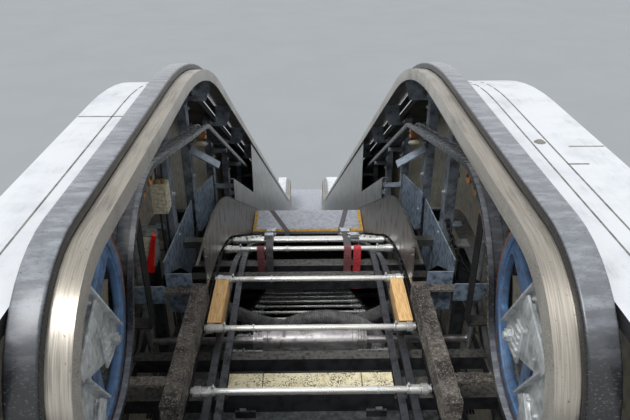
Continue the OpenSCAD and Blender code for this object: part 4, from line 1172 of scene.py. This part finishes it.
# %% Post nuts, conduits and box details
POST_X = 0.700
POST_YS = (3.070, 3.640, 4.440, 5.230)
CONDUITS = ((2.680, -0.780, 0.560), (3.300, -0.900, 0.620), (4.020, -1.250, 0.300))
CABLE_BENDS = (
    (0.728, 2.300, -0.330), (0.730, 2.700, -0.345), (0.728, 3.150, -0.420),
    (0.730, 4.000, -0.870), (0.728, 5.500, -1.740), (0.730, 7.000, -2.606),
)
post_nuts = bmesh.new()
conduits = bmesh.new()
cables = bmesh.new()
for _, sign in SIDES:
    for y in POST_YS:
        top = height_on(deck_edge, y)
        for down in (0.070, 0.135, 0.330, 0.560, 0.800):
            nut(post_nuts, (sign * POST_X, y, top - down), (-sign, 0, 0), 11)
    for y, low_z, high_z in CONDUITS:
        bar(conduits, (sign * 0.812, y, low_z), (sign * 0.812, y, high_z), 0.013, 16)
        for clip_z in (low_z + 0.25, (low_z + high_z) / 2, high_z - 0.2):
            block(conduits, (sign * 0.796, sign * 0.830), (y - 0.016, y + 0.016),
                  (clip_z, clip_z + 0.02), 2)
    for shift in (0.0, 0.014, 0.028):
        line = [Vector((sign * (x + shift), y, z)) for x, y, z in CABLE_BENDS]
        sweep(cables, even(line, 0.12), [circle(0.006, 10)], (1, 0, 0))
BOX_X, BOX_Y, BOX_Z = (-0.702, -0.774), (2.940, 3.030), (0.392, 0.540)
GLAND_XS, GLAND_Y, SHEATH_R = (-0.722, -0.752), 2.985, 0.0055
SWITCH_Y = 2.800
GLAND_PARTS = ((0.540, 0.552, 0.011, 6), (0.552, 0.566, 0.008, 16), (0.380, 0.392, 0.011, 6))
details = bmesh.new()
glands = bmesh.new()
for i in range(6):
    rib_z = BOX_Z[0] + 0.018 + 0.020 * i
    rib = (rib_z, rib_z + 0.008)
    block(details, (BOX_X[1] + 0.008, BOX_X[0] - 0.008), (BOX_Y[0] - 0.004, BOX_Y[0]), rib, 1)
    block(details, (BOX_X[0], BOX_X[0] + 0.004), (BOX_Y[0] + 0.008, BOX_Y[1] - 0.008), rib, 1)
for x in GLAND_XS:
    for low_z, high_z, radius, sides in GLAND_PARTS:
        bar(glands, (x, GLAND_Y, low_z), (x, GLAND_Y, high_z), radius, sides)
    bar(cables, (x, GLAND_Y, 0.566), (x, GLAND_Y + 0.010, 0.700), SHEATH_R, 10)
    bar(cables, (x, GLAND_Y, -0.350), (x, GLAND_Y, 0.380), SHEATH_R, 10)
block(details, (-0.760, -0.834), (SWITCH_Y - 0.006, SWITCH_Y), (0.180, 0.342), 2)
bar(details, (-0.797, SWITCH_Y, 0.300), (-0.797, SWITCH_Y - 0.014, 0.300), 0.012, 20)
done("post_nuts", post_nuts, zinc_plate)

# %% [markdown]
# Small things that catch the light: the nylon rollers that steady the returning handrail with
# their bolts, the slotted plates in the frame's lug boxes, and the dark joints of the boards.

# %% Rollers, slotted plates and board joints
ROLLER_Y, ROLLER_Z = 3.610, 0.494
ROLLER_R, ROLLER_W = 0.015, 0.020
SLOT_Y, SLOT_Z = (2.2365, 2.2385), -0.229
board_low, board_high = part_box("pit_boards")
rollers = bmesh.new()
roller_bolts = bmesh.new()
slots = bmesh.new()
joints = bmesh.new()
for _, sign in SIDES:
    for dy, dz in ((0.0, 0.0), (0.075, -0.030)):
        y, z = ROLLER_Y + dy, ROLLER_Z + dz
        for near_x in (0.612, 0.634):
            bar(rollers, (sign * near_x, y, z), (sign * (near_x + ROLLER_W), y, z), ROLLER_R, 20)
        bar(roller_bolts, (sign * 0.606, y, z), (sign * 0.700, y, z), 0.005, 12)
        nut(roller_bolts, (sign * 0.612, y, z), (-sign, 0, 0), 7)
    for rib in range(3):
        low = SLOT_Z + 0.006 * rib
        block(slots, (sign * 0.287, sign * 0.318), SLOT_Y, (low, low + 0.003))
    block(slots, (sign * 0.287, sign * 0.291), SLOT_Y, (SLOT_Z, SLOT_Z + 0.015))
for joint_x in (-0.2175, 0.2315):
    block(joints, (joint_x - 0.002, joint_x + 0.002), (board_low[1] + 0.001, board_high[1] - 0.001),
          (board_high[2], board_high[2] + 0.0004))
done("nylon_rollers", rollers, roller_nylon)
done("roller_bolts", roller_bolts, zinc_plate)
done("lug_slots", slots, zinc_plate)
done("board_joints", joints, lining_steel)
done("grey_conduits", conduits, conduit_steel)
done("clipped_cables", cables, black_cable)
done("box_ribs", details, cream_enamel)
done("brass_glands", glands, brass)

# %% [markdown]
# The combs at the foot of the machine are rows of teeth that reach into the treads, and the
# floor plates are ribbed along the way that people walk.

# %% Comb teeth and floor ribs
COMB_Y, LOW_FLOOR_Z, TOOTH_PITCH = 18.112, -7.850, 0.009
FLOORS = (((18.515, 19.895), LOW_FLOOR_Z), ((0.107, 1.095), 0.150))
teeth = bmesh.new()
floor_ribs = bmesh.new()
for i in range(108):
    x = -0.4815 + i * TOOTH_PITCH
    root, tip = (x, COMB_Y, LOW_FLOOR_Z - 0.004), (x, COMB_Y - 0.034, LOW_FLOOR_Z - 0.007)
    bar(teeth, root, tip, 0.0034, 6, 0.0015)
    block(teeth, (x - 0.002, x + 0.002), (COMB_Y, COMB_Y + 0.390),
          (LOW_FLOOR_Z, LOW_FLOOR_Z + 0.003))
for i in range(140):
    x = -0.6255 + i * TOOTH_PITCH
    for along, z in FLOORS:
        block(floor_ribs, (x - 0.002, x + 0.002), along, (z, z + 0.002))
done("comb_teeth", teeth, step_cast)
done("floor_ribs", floor_ribs, step_cast)
